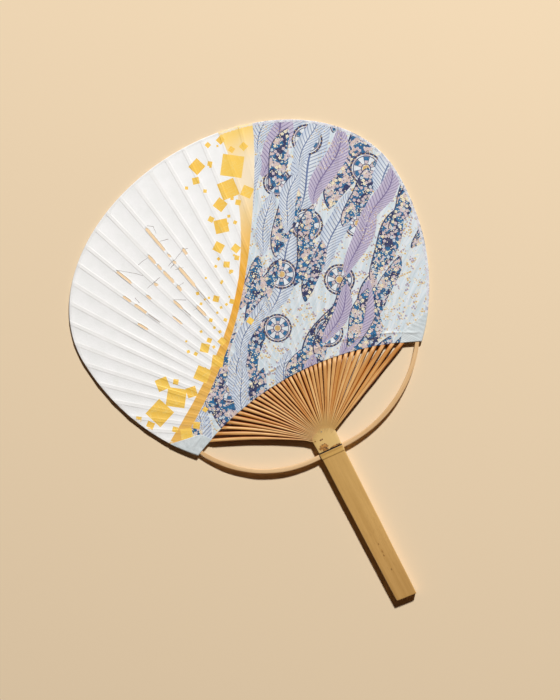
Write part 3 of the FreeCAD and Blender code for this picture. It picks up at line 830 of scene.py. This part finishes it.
def bamboo(name, pale, deep, dark, place_name, fibre, rough=0.5, streaks=1.0):
    """Split bamboo: long fibres in three tones along the piece, fine dark pores and a satin skin."""
    paint = Finish(name)
    place = paint.place(place_name) if place_name else paint.object_place()
    x, y, z = paint.parts(place)
    long_grain = paint.combine(x, y * 0.035, z)
    broad = paint.noise(long_grain, 2.4, 3, 0.6)
    fine = paint.noise(long_grain, fibre, 2, 0.6)
    pores = paint.noise(paint.combine(x * 3, y * 0.22, z * 3), 0.9, 1)
    colour = paint.mix(paint.step(broad, 0.5 - 0.18 / streaks, 0.5 + 0.18 / streaks), deep, pale)
    colour = paint.mix(paint.step(fine, 0.5, 0.8) * 0.45, colour, dark)
    colour = paint.mix(paint.step(pores, 0.66, 0.74) * 0.5, colour, dark)
    height = fine * 0.6 + broad * 0.4
    return paint, colour, height, rough + 0.25 * (fine - 0.5), place


def rib_finish():
    """The ribs: olive tan at the neck, honey on the free stretch and pale under the paper, with painted
    shade:
    deep orange on their sides, reaching higher on the left-hand ribs, and darkest underneath and between
    them."""
    tones = tone(247, 204, 140), tone(209, 143, 66), tone(124, 58, 8)
    paint, colour, height, rough, place = bamboo("split_bamboo_ribs", *tones, "grain", 0.2)
    number = paint.maths("ROUND", paint.parts(place)[0] / 7.0)
    radius, past_edge, share = paint.parts(paint.place("span"))
    own = paint.draw(paint.combine(number, 3.0), 0)
    colour = paint.multiply(1.0, colour, paint.mix(own, tone(240, 231, 216), tone(255, 253, 248)))
    colour = paint.mix(paint.step(radius, 10, 26, 0.95, 0.0), colour, tone(206, 165, 98))
    # Painted shade on the ribs' sides, low on the section; on the left-hand ribs, which the light crosses, it
    # reaches higher
    narrow = paint.step(share, 0.25, 0.97, 1.0, 0.0)
    wide = paint.step(share, 0.5, 1.0, 1.0, 0.0)
    flank_shade = narrow + (wide - narrow) * paint.step(number, 12, 24, 1.0, 0.0)
    colour = paint.mix(flank_shade * 0.88, colour, tone(178, 78, 0))
    # Painted shade, darkest on the ribs' undersides and in the gaps between them
    colour = paint.mix(paint.step(share, -0.9, 0.3, 0.85, 0.0), colour, tone(90, 30, 0))
    colour = paint.mix(paint.step(past_edge, 0.0, 4.0) * 0.94, colour, tone(249, 219, 176))
    return paint.done(Base_Color=colour, Roughness=rough, Normal=paint.bump(height, 0.08))


def bow_finish():
    """The bow: pale shaved bamboo."""
    tones = tone(232, 195, 146), tone(218, 175, 120), tone(182, 132, 78)
    paint, colour, height, rough, _ = bamboo("shaved_bamboo_bow", *tones, "grain", 0.25)
    return paint.done(Base_Color=colour, Roughness=rough, Normal=paint.bump(height, 0.06))


# Tints along the handle: where each starts and ends, its strength at both places, and its colour
HANDLE_TINTS = [
    (-40, 55, 0.0, 0.5, tone(210, 169, 99)), (-62, 10, 0.5, 0.0, tone(186, 142, 80)),
    (NODE_Y + 0.1, NECK_START, 0.0, 0.6, tone(224, 191, 123)),
    (HUB_Y + 0.5, HUB_Y + 9.5, 0.0, 0.8, tone(207, 167, 100)),
]

# Brown marks on the handle: place, half width and half length
HANDLE_MARKS = [
    (-3.8, 65.4, 3.7, 3.3), (4.4, 62.8, 5.0, 1.0), (-7.6, 72.4, 0.7, 0.7), (-3.6, 71.4, 0.8, 0.7),
    (-2.2, 71.6, 0.6, 0.6), (-0.6, -16.3, 0.5, 1.0), (-0.6, -22.0, 0.6, 1.8), (-0.9, -25.5, 0.5, 1.3),
    (-0.6, -37.0, 0.5, 0.8),
]


def handle_finish():
    """The handle: olive-tan skin on the grip, paler neck with fine splits where the ribs leave it, golden
    band at the node with painted shade over its upper half and a painted shadow under its step, painted shade
    in the node's groove, and brown stains."""
    tones = tone(216, 170, 100), tone(192, 146, 78), tone(146, 102, 50)
    paint, colour, height, rough, place = bamboo("flat_bamboo_handle", *tones, None, 0.14, 0.42, 0.8)
    x, y, z = paint.parts(place)
    for low, high, start, end, tint in HANDLE_TINTS:
        colour = paint.mix(paint.step(y, low, high, start, end), colour, tint)
    edge = paint.noise(place, 2.2, 3, 0.65)
    level = paint.line(x, y, -NODE_SLANT[1], 1.0, -NODE_SLANT[0])
    uneven = level + (edge - 0.5) * 1.7
    band = paint.step(uneven, RING_START - 0.3, RING_START + 0.3)
    band = band * paint.step(level, NODE_Y - 0.2, NODE_Y + 0.1, 1.0, 0.0)
    colour = paint.mix(band * 0.55, colour, tone(212, 168, 90))
    # Painted shade over the upper half of the raised node ring
    ring_shade = paint.step(abs(uneven - (NODE_Y - 1.3)), 0.2, 1.2, 0.45, 0.0)
    colour = paint.mix(ring_shade, colour, tone(170, 122, 56))
    # Painted shadow along the step under the raised node ring
    step_shade = paint.step(abs(uneven - (RING_START - 0.1)), 0.1, 0.8, 0.35, 0.0)
    # Painted shade in the node's groove, on the front face only
    groove = paint.step(abs(level - NODE_Y - 0.26), 0.42, 0.6, 1.0, 0.0) * paint.step(z, 4.6, 5.4)
    far = None
    for mark_x, mark_y, wide, long in HANDLE_MARKS:
        here = ((x - mark_x) / wide) ** 2 + ((y - mark_y) / long) ** 2
        far = here if far is None else paint.least(far, here)
    far = far + (paint.noise(place, 1.3, 3, 0.7) - 0.5) * 3.2
    marks = paint.step(far, 0.6, 1.0, 1.0, 0.0) * paint.step(z, 4.6, 5.2)
    speckle = paint.noise(place, 1.5, 2, 0.7)
    blotch = paint.mix(paint.step(speckle, 0.42, 0.58), tone(82, 40, 10), tone(184, 126, 56))
    colour = paint.mix(marks * paint.step(y, 0, 40, 0.6, 0.92), colour, blotch)
    arris = abs(x) - (y + NODE_Y) * ((NODE_WIDTH - GRIP_END_WIDTH) / (2 * GRIP_LENGTH)) - GRIP_END_WIDTH / 2
    worn = paint.step(arris, -0.55, -0.2) * paint.step(y, 60, 62, 0.45, 0.25)
    colour = paint.mix(worn, colour, tone(232, 198, 136))
    up = y - HUB_Y
    from_hub = paint.maths("SQRT", x * x + up * up)
    number = (paint.maths("ARCTAN2", x, up) - FIRST_RIB) / RIB_PITCH
    depth = paint.draw(paint.combine(paint.maths("FLOOR", number), 8.0), 0)
    split = abs(paint.maths("FRACT", number) - 0.5)
    split = paint.step(split * from_hub * RIB_PITCH, 0.03, 0.12, 1.0, 0.0)
    split = split * paint.step(from_hub - depth * 4.0, 4.5, 7.5) * paint.step(up, 0.0, 3.0)
    colour = paint.mix(split * 0.7, colour, tone(110, 66, 26))
    dot_x, dot_y = x + 0.15, up - 7.2
    dot = paint.step(dot_x * dot_x + dot_y * dot_y + (edge - 0.5) * 0.5, 0.1, 0.6, 0.7, 0.0)
    colour = paint.mix(dot, colour, tone(128, 120, 112))
    # Painted shadow under the ring's step
    colour = paint.mix(step_shade, colour, tone(130, 88, 40))
    # Painted shade in the node's groove
    colour = paint.mix(groove, colour, tone(28, 22, 24))
    return paint.done(Base_Color=colour, Roughness=rough, Normal=paint.bump(height, 0.05))


def thread_finish():
    """Spun cotton: pale and dark turns of the twist along the thread."""
    paint = Finish("spun_cotton_thread")
    x, _, z = paint.parts(paint.object_place())
    twist = paint.maths("SINE", x * 9 + z * 7)
    colour = paint.mix(paint.step(twist, -0.6, 0.8), tone(206, 198, 180), tone(238, 233, 220))
    return paint.done(Base_Color=colour, Roughness=0.9 - 0.1 * twist, Normal=paint.bump(twist, 0.05))


# Finishes of the papers

NAVY, BLUE, PALE_BLUE = tone(28, 40, 90), tone(2, 102, 152), tone(209, 223, 230)
MAUVE, LAVENDER, VIOLET = tone(209, 194, 198), tone(184, 174, 200), tone(118, 104, 150)
CREAM, GILT, SLATE, MIST = tone(242, 234, 206), tone(214, 178, 112), tone(100, 120, 162), tone(226, 232, 236)
WHITE, SHADE, FIBRE = tone(250, 250, 249), tone(245, 246, 244), tone(252, 252, 251)


def washi(paint, place):
    """Handmade paper: faint clouds, tangled long fibres and a fine tooth. Returns cloud, fibre and height."""
    cloud = paint.noise(place, 9.0, 3, 0.6)
    strands = paint.noise(place, 1.5, 2, 0.7, 2.2)
    fibre = paint.step(abs(strands - 0.5), 0.0, 0.035, 1.0, 0.0)
    tooth = paint.noise(place, 0.35, 2, 0.6)
    return cloud, fibre, tooth * 0.6 + fibre * 0.5


def matt_paper(paint, colour, cloud, height):
    """Feed the shader of a paper without gold and give the material."""
    rough = 0.82 + 0.12 * (cloud - 0.5)
    return paint.done(Base_Color=colour, Roughness=rough, Normal=paint.bump(height, 0.05))


def plain_finish(name, pale, shade):
    """Plain handmade paper in two close tones."""
    paint = Finish(name)
    cloud, fibre, height = washi(paint, paint.object_place())
    colour = paint.mix(paint.step(cloud, 0.3, 0.7), shade, pale)
    colour = paint.mix(fibre * 0.25, colour, FIBRE)
    return matt_paper(paint, colour, cloud, height)


def rim_finish():
    """The rim's thin paper: whitish, with what lies under it on the front showing faintly through."""
    paint = Finish("rim_paper")
    place = paint.object_place()
    cloud, _, height = washi(paint, place)
    right, left, _ = paint.parts(paint.place("strip"))
    front = paint.parts(paint.place("rib"))[2]
    colour = paint.mix(paint.step(cloud, 0.3, 0.7), tone(238, 238, 236), tone(243, 243, 241))
    mottle = paint.noise(place, 2.6, 3, 0.7)
    print_tint = paint.mix(paint.step(mottle, 0.4, 0.5), PALE_BLUE, paint.mix(mottle > 0.56, LAVENDER, BLUE))
    in_print = paint.step(right, -0.3, 0.3)
    colour = paint.mix(in_print * front * 0.5, colour, print_tint)
    gold = paint.step(left, -0.4, 0.4) * (1 - in_print)
    colour = paint.mix(gold * front * 0.5, colour, tone(252, 218, 130))
    return matt_paper(paint, colour, cloud, height)


# Cut squares of gold leaf: middle, side and turn in degrees
GOLD_SQUARES = [
    (31, 212, 16, 55), (20.5, 198, 13, 85), (32, 190, 8, 40), (7.5, 223.5, 9, 20), (17, 221, 3.5, 55),
    (2, 214.5, 5, 75), (10, 190.5, 8, 25), (22.5, 186, 4, 50), (-1, 184, 4, 35), (3.5, 176, 10, 75),
    (-5.5, 163, 7, 35), (5.5, 156.5, 5.5, 25), (3, 150, 3.5, 50), (-6, 149, 4.5, 60), (-24.5, 130, 4.5, 50),
    (-15, 123, 3.5, 50), (-25.5, 113, 2.5, 40), (-43, 105, 3.5, 45), (-35, 100, 5, 20),
    (-48.5, 101.5, 6.5, 50), (-44.5, 88.5, 8.5, 55), (-59, 85, 10.5, 40), (-88.5, 92, 9, 85),
    (-79, 89, 4, 55), (-84, 78.5, 14, 55), (-72, 77, 7.5, 80), (-100, 74, 15, 20), (-116, 77, 4, 55),
    (-110.5, 69, 5.5, 40), (-95.5, 58, 4, 50), (-89.5, 51, 8.5, 70), (-80, 53.5, 5, 55), (-69, 61, 3.5, 30),
    (-9.5, 104, 4.5, 30), (32, 233, 5, 20), (45, 221, 5, 20), (36, 223, 4, 30), (22, 234, 3.5, 20),
]


def gold_flecks(count=38, seed=8):
    """Tiny squares strewn by chance to the left of the gold strip, thinning out with the distance from it."""
    chance = np.random.default_rng(seed)
    height = chance.uniform(85, 232, count)
    middle = strip_side(height, 1) - 4 - chance.exponential(14, count)
    sides, turns = chance.uniform(1.3, 2.7, count), chance.uniform(0, 90, count)
    return np.stack([middle, height, sides, turns], -1).tolist()


def gold_squares(paint, x, y):
    """A share over 0 inside any square of gold leaf, which differs from square to square."""
    own = None
    for number, (middle_x, middle_y, side, turn) in enumerate(GOLD_SQUARES + gold_flecks()):
        run, rise = math.cos(math.radians(turn)) * 2 / side, math.sin(math.radians(turn)) * 2 / side
        u = paint.line(x, y, run, rise, -middle_x * run - middle_y * rise)
        v = paint.line(x, y, -rise, run, middle_x * rise - middle_y * run)
        share = 0.3 + 0.7 * ((number * 7) % 11) / 10
        here = (paint.most(abs(u), abs(v)) < 1.0) * share
        own = here if own is None else paint.most(own, here)
    return own


def closed_slits():
    """The slits that are nearly shut, as cracks along their ribs, which are painted dark as the shade in
    them.
    """
    rows = []
    for number, start, end, bare in TEARS:
        if bare < SHUT_SHARE:
            angle = FIRST_RIB + RIB_PITCH * number
            x, y = LEAF_HEIGHT * math.sin(angle), LEAF_HEIGHT * math.cos(angle)
            rows.append((start * x, start * y, end * x, end * y))
    return rows


def cracks(paint, x, y):
    """Distance to the nearest hairline crack: beside its line, or past its end."""
    nearest = None
    for start_x, start_y, end_x, end_y in CRACKS + closed_slits():
        length = math.hypot(end_x - start_x, end_y - start_y)
        run, rise = (end_x - start_x) / length, (end_y - start_y) / length
        along = paint.line(x, y, run, rise, -start_x * run - start_y * rise - length / 2)
        aside = paint.line(x, y, -rise, run, start_x * rise - start_y * run)
        far = paint.most(abs(aside), abs(along) - length / 2)
        nearest = far if nearest is None else paint.least(nearest, far)
    return nearest


def blossoms(paint, place, size, petals, reach):
    """Small flowers, one in each chance-shaped cell: how far inside the petals, how far from the middle, and
    three random numbers of the flower's own."""
    spot = paint.scaled(place, 1 / size)
    middle = paint.cells(spot, "Position", 0.75)
    colour = paint.tints(paint.cells(spot, "Color", 0.75))
    u, v, _ = paint.parts(paint.vector("SUBTRACT", spot, middle))
    far = paint.maths("SQRT", u * u + v * v)
    turn = paint.maths("ARCTAN2", v, u) + colour[2] * 6.0
    petal = reach * (0.68 + 0.32 * abs(paint.maths("COSINE", turn * (petals / 2))))
    return petal - far, far, colour


def lobes(paint, along, across, length, width, seed):
    """Staggered leaf shapes along the streams: how far inside (in widths), place along 0 to 1, place across
    -1 to 1, and random numbers of the leaf's own."""
    band = paint.maths("FLOOR", across / width)
    start = paint.draw(paint.combine(band, seed), 0)
    run = along / length + start * 7.3
    cell = paint.maths("FLOOR", run)
    own = paint.tints(paint.draw(paint.combine(band, cell, seed + 5.0), 1))
    along_share = run - cell
    bend = paint.maths("SINE", along_share * 6.28 + own[0] * 6.28) * 0.12
    side = across / width - band - 0.5 + bend
    half = 0.46 * (along_share * (1 - along_share) * 4) ** 0.7 * (0.72 + 0.28 * own[1])
    return half - abs(side), along_share, side / paint.most(half, 0.02), own


# Spoked wheels of the print: middle and radius
WHEELS = [
    (89, 204, 11.5), (55, 186, 10.5), (118, 165, 12), (60, 148, 12), (94, 132, 10.5), (27, 124, 11),
    (63, 101, 11.5), (6, 90, 10.5), (38, 70, 11), (-46, 66, 10),
]


def wheel_place(paint, x, y):
    """Place in the nearest wheel, in that wheel's radii: distance from its middle and both coordinates."""
    nearest, u, v = None, None, None
    for middle_x, middle_y, radius in WHEELS:
        here_u = paint.maths("MULTIPLY_ADD", x, 1 / radius, -middle_x / radius)
        here_v = paint.maths("MULTIPLY_ADD", y, 1 / radius, -middle_y / radius)
        far = paint.maths("SQRT", here_u * here_u + here_v * here_v)
        if nearest is None:
            nearest, u, v = far, here_u, here_v
        else:
            share = far < nearest
            u = paint.maths("MULTIPLY_ADD", here_u - u, share, u)
            v = paint.maths("MULTIPLY_ADD", here_v - v, share, v)
            nearest = paint.least(nearest, far)
    return nearest, u, v


def wheel_colour(paint, far, u, v):
    """A spoked cart wheel: dark rim with gilt studs, thin dark spokes with mauve, pale and blue between them,
    and a gilt hub."""
    turn = paint.maths("ARCTAN2", v, u)
    sector = paint.maths("COSINE", turn * 6)
    stud = (paint.maths("COSINE", turn * 22) > 0.75) * (abs(far - 0.93) < 0.03)
    wheel = paint.mix(sector > 0.0, MIST, MAUVE)
    wheel = paint.mix((sector > 0.2) * (far > 0.5) * (far < 0.74), wheel, BLUE)
    dark = paint.most(far > 0.88, abs(far - 0.78) < 0.025)
    dark = paint.most(dark, (abs(sector) * far < 0.1) * (far > 0.28) * (far < 0.78))
    wheel = paint.mix(paint.most(dark, abs(far - 0.28) < 0.03), wheel, NAVY)
    return paint.mix(paint.most(stud, far < 0.2), wheel, GILT)


def flower_fill(paint, place):
    """Close-set flowers on mauve, blue and navy patches, with thin outlines and flecks between them; also how
    far inside the flecks, and three random numbers of each fleck's own."""
    flower, heart, tint = blossoms(paint, place, 2.9, 5.0, 0.49)
    fleck, _, speck = blossoms(paint, place, 1.3, 4.0, 0.4)
    patch = paint.noise(place, 7.0, 1)
    gaps = paint.mix(patch > 0.57, paint.mix(patch > 0.42, MAUVE, BLUE), NAVY)
    gaps = paint.mix((fleck > 0.0) * (speck[0] > 0.4), gaps, paint.mix(speck[1] > 0.5, CREAM, NAVY))
    petal = paint.mix(tint[1] > 0.5, tone(198, 214, 228), CREAM)
    petal = paint.mix(tint[0] > 0.6, tone(210, 194, 202), petal)
    shown = tint[2] < 0.62
    floral = paint.mix((flower > -0.05) * shown, gaps, paint.mix(patch > 0.44, GILT, NAVY))
    floral = paint.mix((flower > 0.035) * shown, floral, petal)
    return paint.mix((heart < 0.11) * shown, floral, GILT), fleck, speck


# Layers of leaf shapes in the print: length, width, seed, share filled with flowers and share left out
LEAF_LAYERS = [(72.0, 21.0, 11.0, 0.62, 0.25), (60.0, 17.0, 4.0, 0.58, 0.3), (46.0, 13.0, 23.0, 0.5, 0.5)]


def print_colour(paint, place, x, y):
    """The printed half: pale blue ground with streams, drifts of tiny blossoms, three layers of leaf shapes
    filled with flowers or herringbone veins, spoked wheels between the layers, and pale dust over all."""
    along, across, _ = paint.parts(paint.place("flow"))
    stream = paint.noise(paint.combine(along * 0.05, across * 0.5), 1.0, 2, 0.5, 0.4)
    ground = paint.mix(paint.step(stream, 0.42, 0.62), PALE_BLUE, MIST)
    drift = paint.noise(paint.combine(along * 0.5, across), 17.0, 2, 0.5)
    tiny, _, own = blossoms(paint, place, 1.7, 3.0, 0.46)
    shade = paint.mix(own[0] > 0.4, CREAM, paint.mix(own[1] > 0.45, tone(168, 146, 166), GILT))
    tuft = paint.noise(place, 4.4, 1) + 0.5 * drift
    colour = paint.mix((tiny > 0.0) * (tuft > 0.79), ground, shade)
    floral, fleck, speck = flower_fill(paint, place)
    far, u, v = wheel_place(paint, x, y)
    for number, (length, width, seed, flowery, bare) in enumerate(LEAF_LAYERS):
        inside, share, side, leaf = lobes(paint, along, across, length, width, seed)
        vein = paint.maths("FRACT", share * (length / 2.7) - abs(side) * 2.6)
        rib = paint.most((vein < 0.26) * 0.8, abs(side) < 0.06)
        purple = paint.mix(rib, paint.mix(abs(side), LAVENDER, tone(199, 190, 211)), VIOLET)
        line_art = paint.mix(rib, paint.mix(abs(side), MIST, tone(198, 210, 226)), SLATE)
        veined = paint.mix(leaf[0] > 0.4, purple, line_art)
        filled = paint.mix(leaf[2] < flowery, veined, floral)
        border = (inside < 0.045) * (leaf[2] < flowery) * (side < 0.5)
        filled = paint.mix(border, filled, NAVY)
        colour = paint.mix((inside > 0.0) * (leaf[1] > bare), colour, filled)
        if number == 0:
            colour = paint.mix(far < 1.0, colour, wheel_colour(paint, far, u, v))
    dust = (fleck > 0.08) * (speck[2] < 0.3) * paint.step(drift, 0.42, 0.5, 1.0, 0.15)
    return paint.mix(dust, colour, paint.mix(speck[1] > 0.5, CREAM, GILT))


# Tones of the gold strip from its lower end to the rim
STRIP_TONES = [
    (0.05, tone(238, 184, 84)), (0.2, tone(238, 182, 76)), (0.42, tone(240, 170, 34)),
    (0.53, tone(244, 186, 70)), (0.66, tone(248, 215, 150)), (0.76, tone(251, 233, 200)),
    (0.84, tone(251, 233, 200)), (0.96, tone(252, 214, 116)),
]


def decorated_finish():
    """The front paper: white field, gold strip and squares, and the printed half, on one sheet of handmade
    paper with painted shade lines along the ribs' edges, and cracked where it is worn, the cracks painted
    dark as shade."""
    paint = Finish("decorated_washi")
    place = paint.vector("SUBTRACT", paint.object_place(), (0, HUB_Y, 0))
    x, y, _ = paint.parts(place)
    own = gold_squares(paint, x, y)
    squares = own > 0.0
    right, left, height = paint.parts(paint.place("strip"))
    pitch, radius, _ = paint.parts(paint.place("rib"))
    cloud, fibre, tooth = washi(paint, place)
    wave = paint.noise(place, 7.0, 2) - 0.5
    # Hairline cracks and nearly shut slits: real splits in the paper, painted dark as the shade in their
    # narrow gaps
    crack = cracks(paint, x + wave * 3.0, y - wave * 3.0)
    crack = paint.step(crack, 0.06, 0.3, 1.0, 0.0) * paint.step(cloud, 0.3, 0.6, 0.35, 0.8)
    from_rib = abs(paint.maths("FRACT", pitch + 0.5) - 0.5) * radius * RIB_PITCH
    over_rib = paint.step(from_rib, 0.9, 1.5, 1.0, 0.0)
    # Painted shade lines along both edges of each rib under the paper
    rib_edge_shade = paint.step(abs(from_rib - 1.4), 0.05, 0.35, 1.0, 0.0)
    white = paint.mix(paint.step(cloud, 0.3, 0.7), SHADE, WHITE)
    white = paint.mix(fibre * 0.25, white, FIBRE)
    white = paint.mix(over_rib * 0.06, white, tone(222, 205, 176))
    white = paint.mix(rib_edge_shade * 0.12, white, tone(212, 192, 170))
    in_print = paint.step(right + wave * 0.5, -0.15, 0.15)
    in_strip = paint.step(left + wave * 1.2, -0.4, 0.4) * (1 - in_print)
    wear = paint.noise(paint.combine(pitch * 4, radius * 0.06), 1.0, 3, 0.7)
    strip = paint.node("ShaderNodeValToRGB", {"stops": STRIP_TONES}, {0: (height - 50) / 190})
    strip = paint.mix(paint.step(wear, 0.45, 0.75) * 0.14, strip, tone(251, 236, 206))
    thin = paint.noise(place, 0.8, 3, 0.7)
    weft = paint.noise(paint.combine(x * 0.1, y), 0.9, 1)
    warp = paint.noise(paint.combine(x, y * 0.1), 0.9, 1)
    weave = paint.step(paint.most(weft, warp), 0.56, 0.68)
    square = paint.mix(own, tone(253, 211, 93), tone(250, 200, 78))
    square = paint.mix(weave * 0.4, square, tone(249, 225, 144))
    square = paint.mix(paint.step(thin, 0.55, 0.75) * 0.22, square, tone(224, 172, 56))
    colour = paint.mix(in_strip, white, strip)
    picture = print_colour(paint, place, x, y)
    picture = paint.mix(fibre * 0.15, picture, tone(236, 238, 238))
    picture = paint.multiply(over_rib * 0.12, picture, tone(190, 186, 180))
    colour = paint.mix(in_print, colour, picture)
    colour = paint.mix(squares, colour, square)
    # Painted shade in the cracks
    colour = paint.mix(crack, colour, tone(98, 78, 62))
    gilded = paint.most(squares, in_strip * 0.5)
    rough = 0.82 - gilded * 0.3 + 0.1 * (cloud - 0.5)
    normal = paint.bump(tooth, 0.05)
    return paint.done(Base_Color=colour, Roughness=rough, Metallic=gilded * 0.04, Normal=normal)


# Stage, light and camera, in metres and watts
VIEW_CENTRE = np.array([0.0002, 0.1443, 0.0])
VIEW_WIDTH = 0.518
CAMERA_HEIGHT = 1.6
CAMERA_TURN = math.radians(27.2)
FLOOR_HALF = 4.0
FLOOR_DROP = 0.0002
KEY_WAY = np.array([0.678, 0.735])
KEY_ELEVATION = math.radians(45)
KEY_DISTANCE = 4.2
KEY_SIZE = 0.42
KEY_WATTS = 218.0
FILL_COLOUR = (1.0, 0.5, 0.25, 1)
FILL_STRENGTH = 0.045


def aim(thing, target):
    """Turn a light so that it points at a target."""
    away = np.array(thing.location) - np.array(target)
    turn = math.atan2(away[0], -away[1])
    tilt = math.atan2(math.hypot(away[0], away[1]), away[2])
    thing.rotation_euler = (tilt, 0, turn)


def stage():
    """A plain pale floor, a soft key light from the upper right, an even fill and a camera from above."""
    corners = np.array([(-1.0, -1.0), (1.0, -1.0), (1.0, 1.0), (-1.0, 1.0)]) * FLOOR_HALF
    points = np.column_stack([corners, np.full(4, -FLOOR_DROP)])
    floor = make_mesh("floor", points, np.array([[0, 1, 2, 3]]))
    paint = Finish("pale_floor")
    floor.data.materials.append(paint.done(Base_Color=tone(236, 213, 178), Roughness=0.8))
    light = bpy.data.lights.new("key", "AREA")
    light.shape = "DISK"
    light.size = KEY_SIZE
    light.energy = KEY_WATTS
    key = bpy.data.objects.new("key", light)
    toward = np.array([*(KEY_WAY * math.cos(KEY_ELEVATION)), math.sin(KEY_ELEVATION)])
    key.location = VIEW_CENTRE + KEY_DISTANCE * toward
    aim(key, VIEW_CENTRE)
    world = bpy.data.worlds.new("fill")
    bpy.context.scene.world = world
    world.use_nodes = True
    fill = world.node_tree.nodes["Background"].inputs
    fill["Color"].default_value = FILL_COLOUR
    fill["Strength"].default_value = FILL_STRENGTH
    lens = bpy.data.cameras.new("camera")
    camera = bpy.data.objects.new("camera", lens)
    lens.lens = lens.sensor_width * CAMERA_HEIGHT / VIEW_WIDTH
    camera.location = VIEW_CENTRE + np.array([0, 0, CAMERA_HEIGHT])
    camera.rotation_euler = (0, 0, -CAMERA_TURN)
    for thing in (key, camera):
        bpy.context.scene.collection.objects.link(thing)
    bpy.context.scene.camera = camera
    bpy.context.scene.view_settings.view_transform = "Standard"


stage()
finish_piece(front_sheet(), decorated_finish(), "decorated_paper", "front_paper")
plain_material = plain_finish("plain_washi", tone(238, 236, 229), tone(228, 225, 216))
finish_piece(back_sheet(), plain_material, "plain_paper", "back_paper")
finish_piece(rim_strip(), rim_finish(), "binding_paper", "edge_binding")
ear_material = plain_finish("corner_paper", tone(213, 220, 221), tone(199, 209, 211))
for name, side in (("left", -1), ("right", 1)):
    finish_piece(corner_patch("corner_patch_" + name, side), ear_material, "ear_paper", "ear_" + name)
rib_material = rib_finish()
for number in range(RIB_COUNT):
    finish_piece(rib_strip(number), rib_material, "bamboo_rib", "rib_%02d" % (number + 1))
finish_piece(bent_bow(), bow_finish(), "bamboo_bow", "bow")
finish_piece(flat_handle(), handle_finish(), "bamboo_handle", "handle")
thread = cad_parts["weaving_thread"]
thread.data.materials.clear()
thread.data.materials.append(thread_finish())
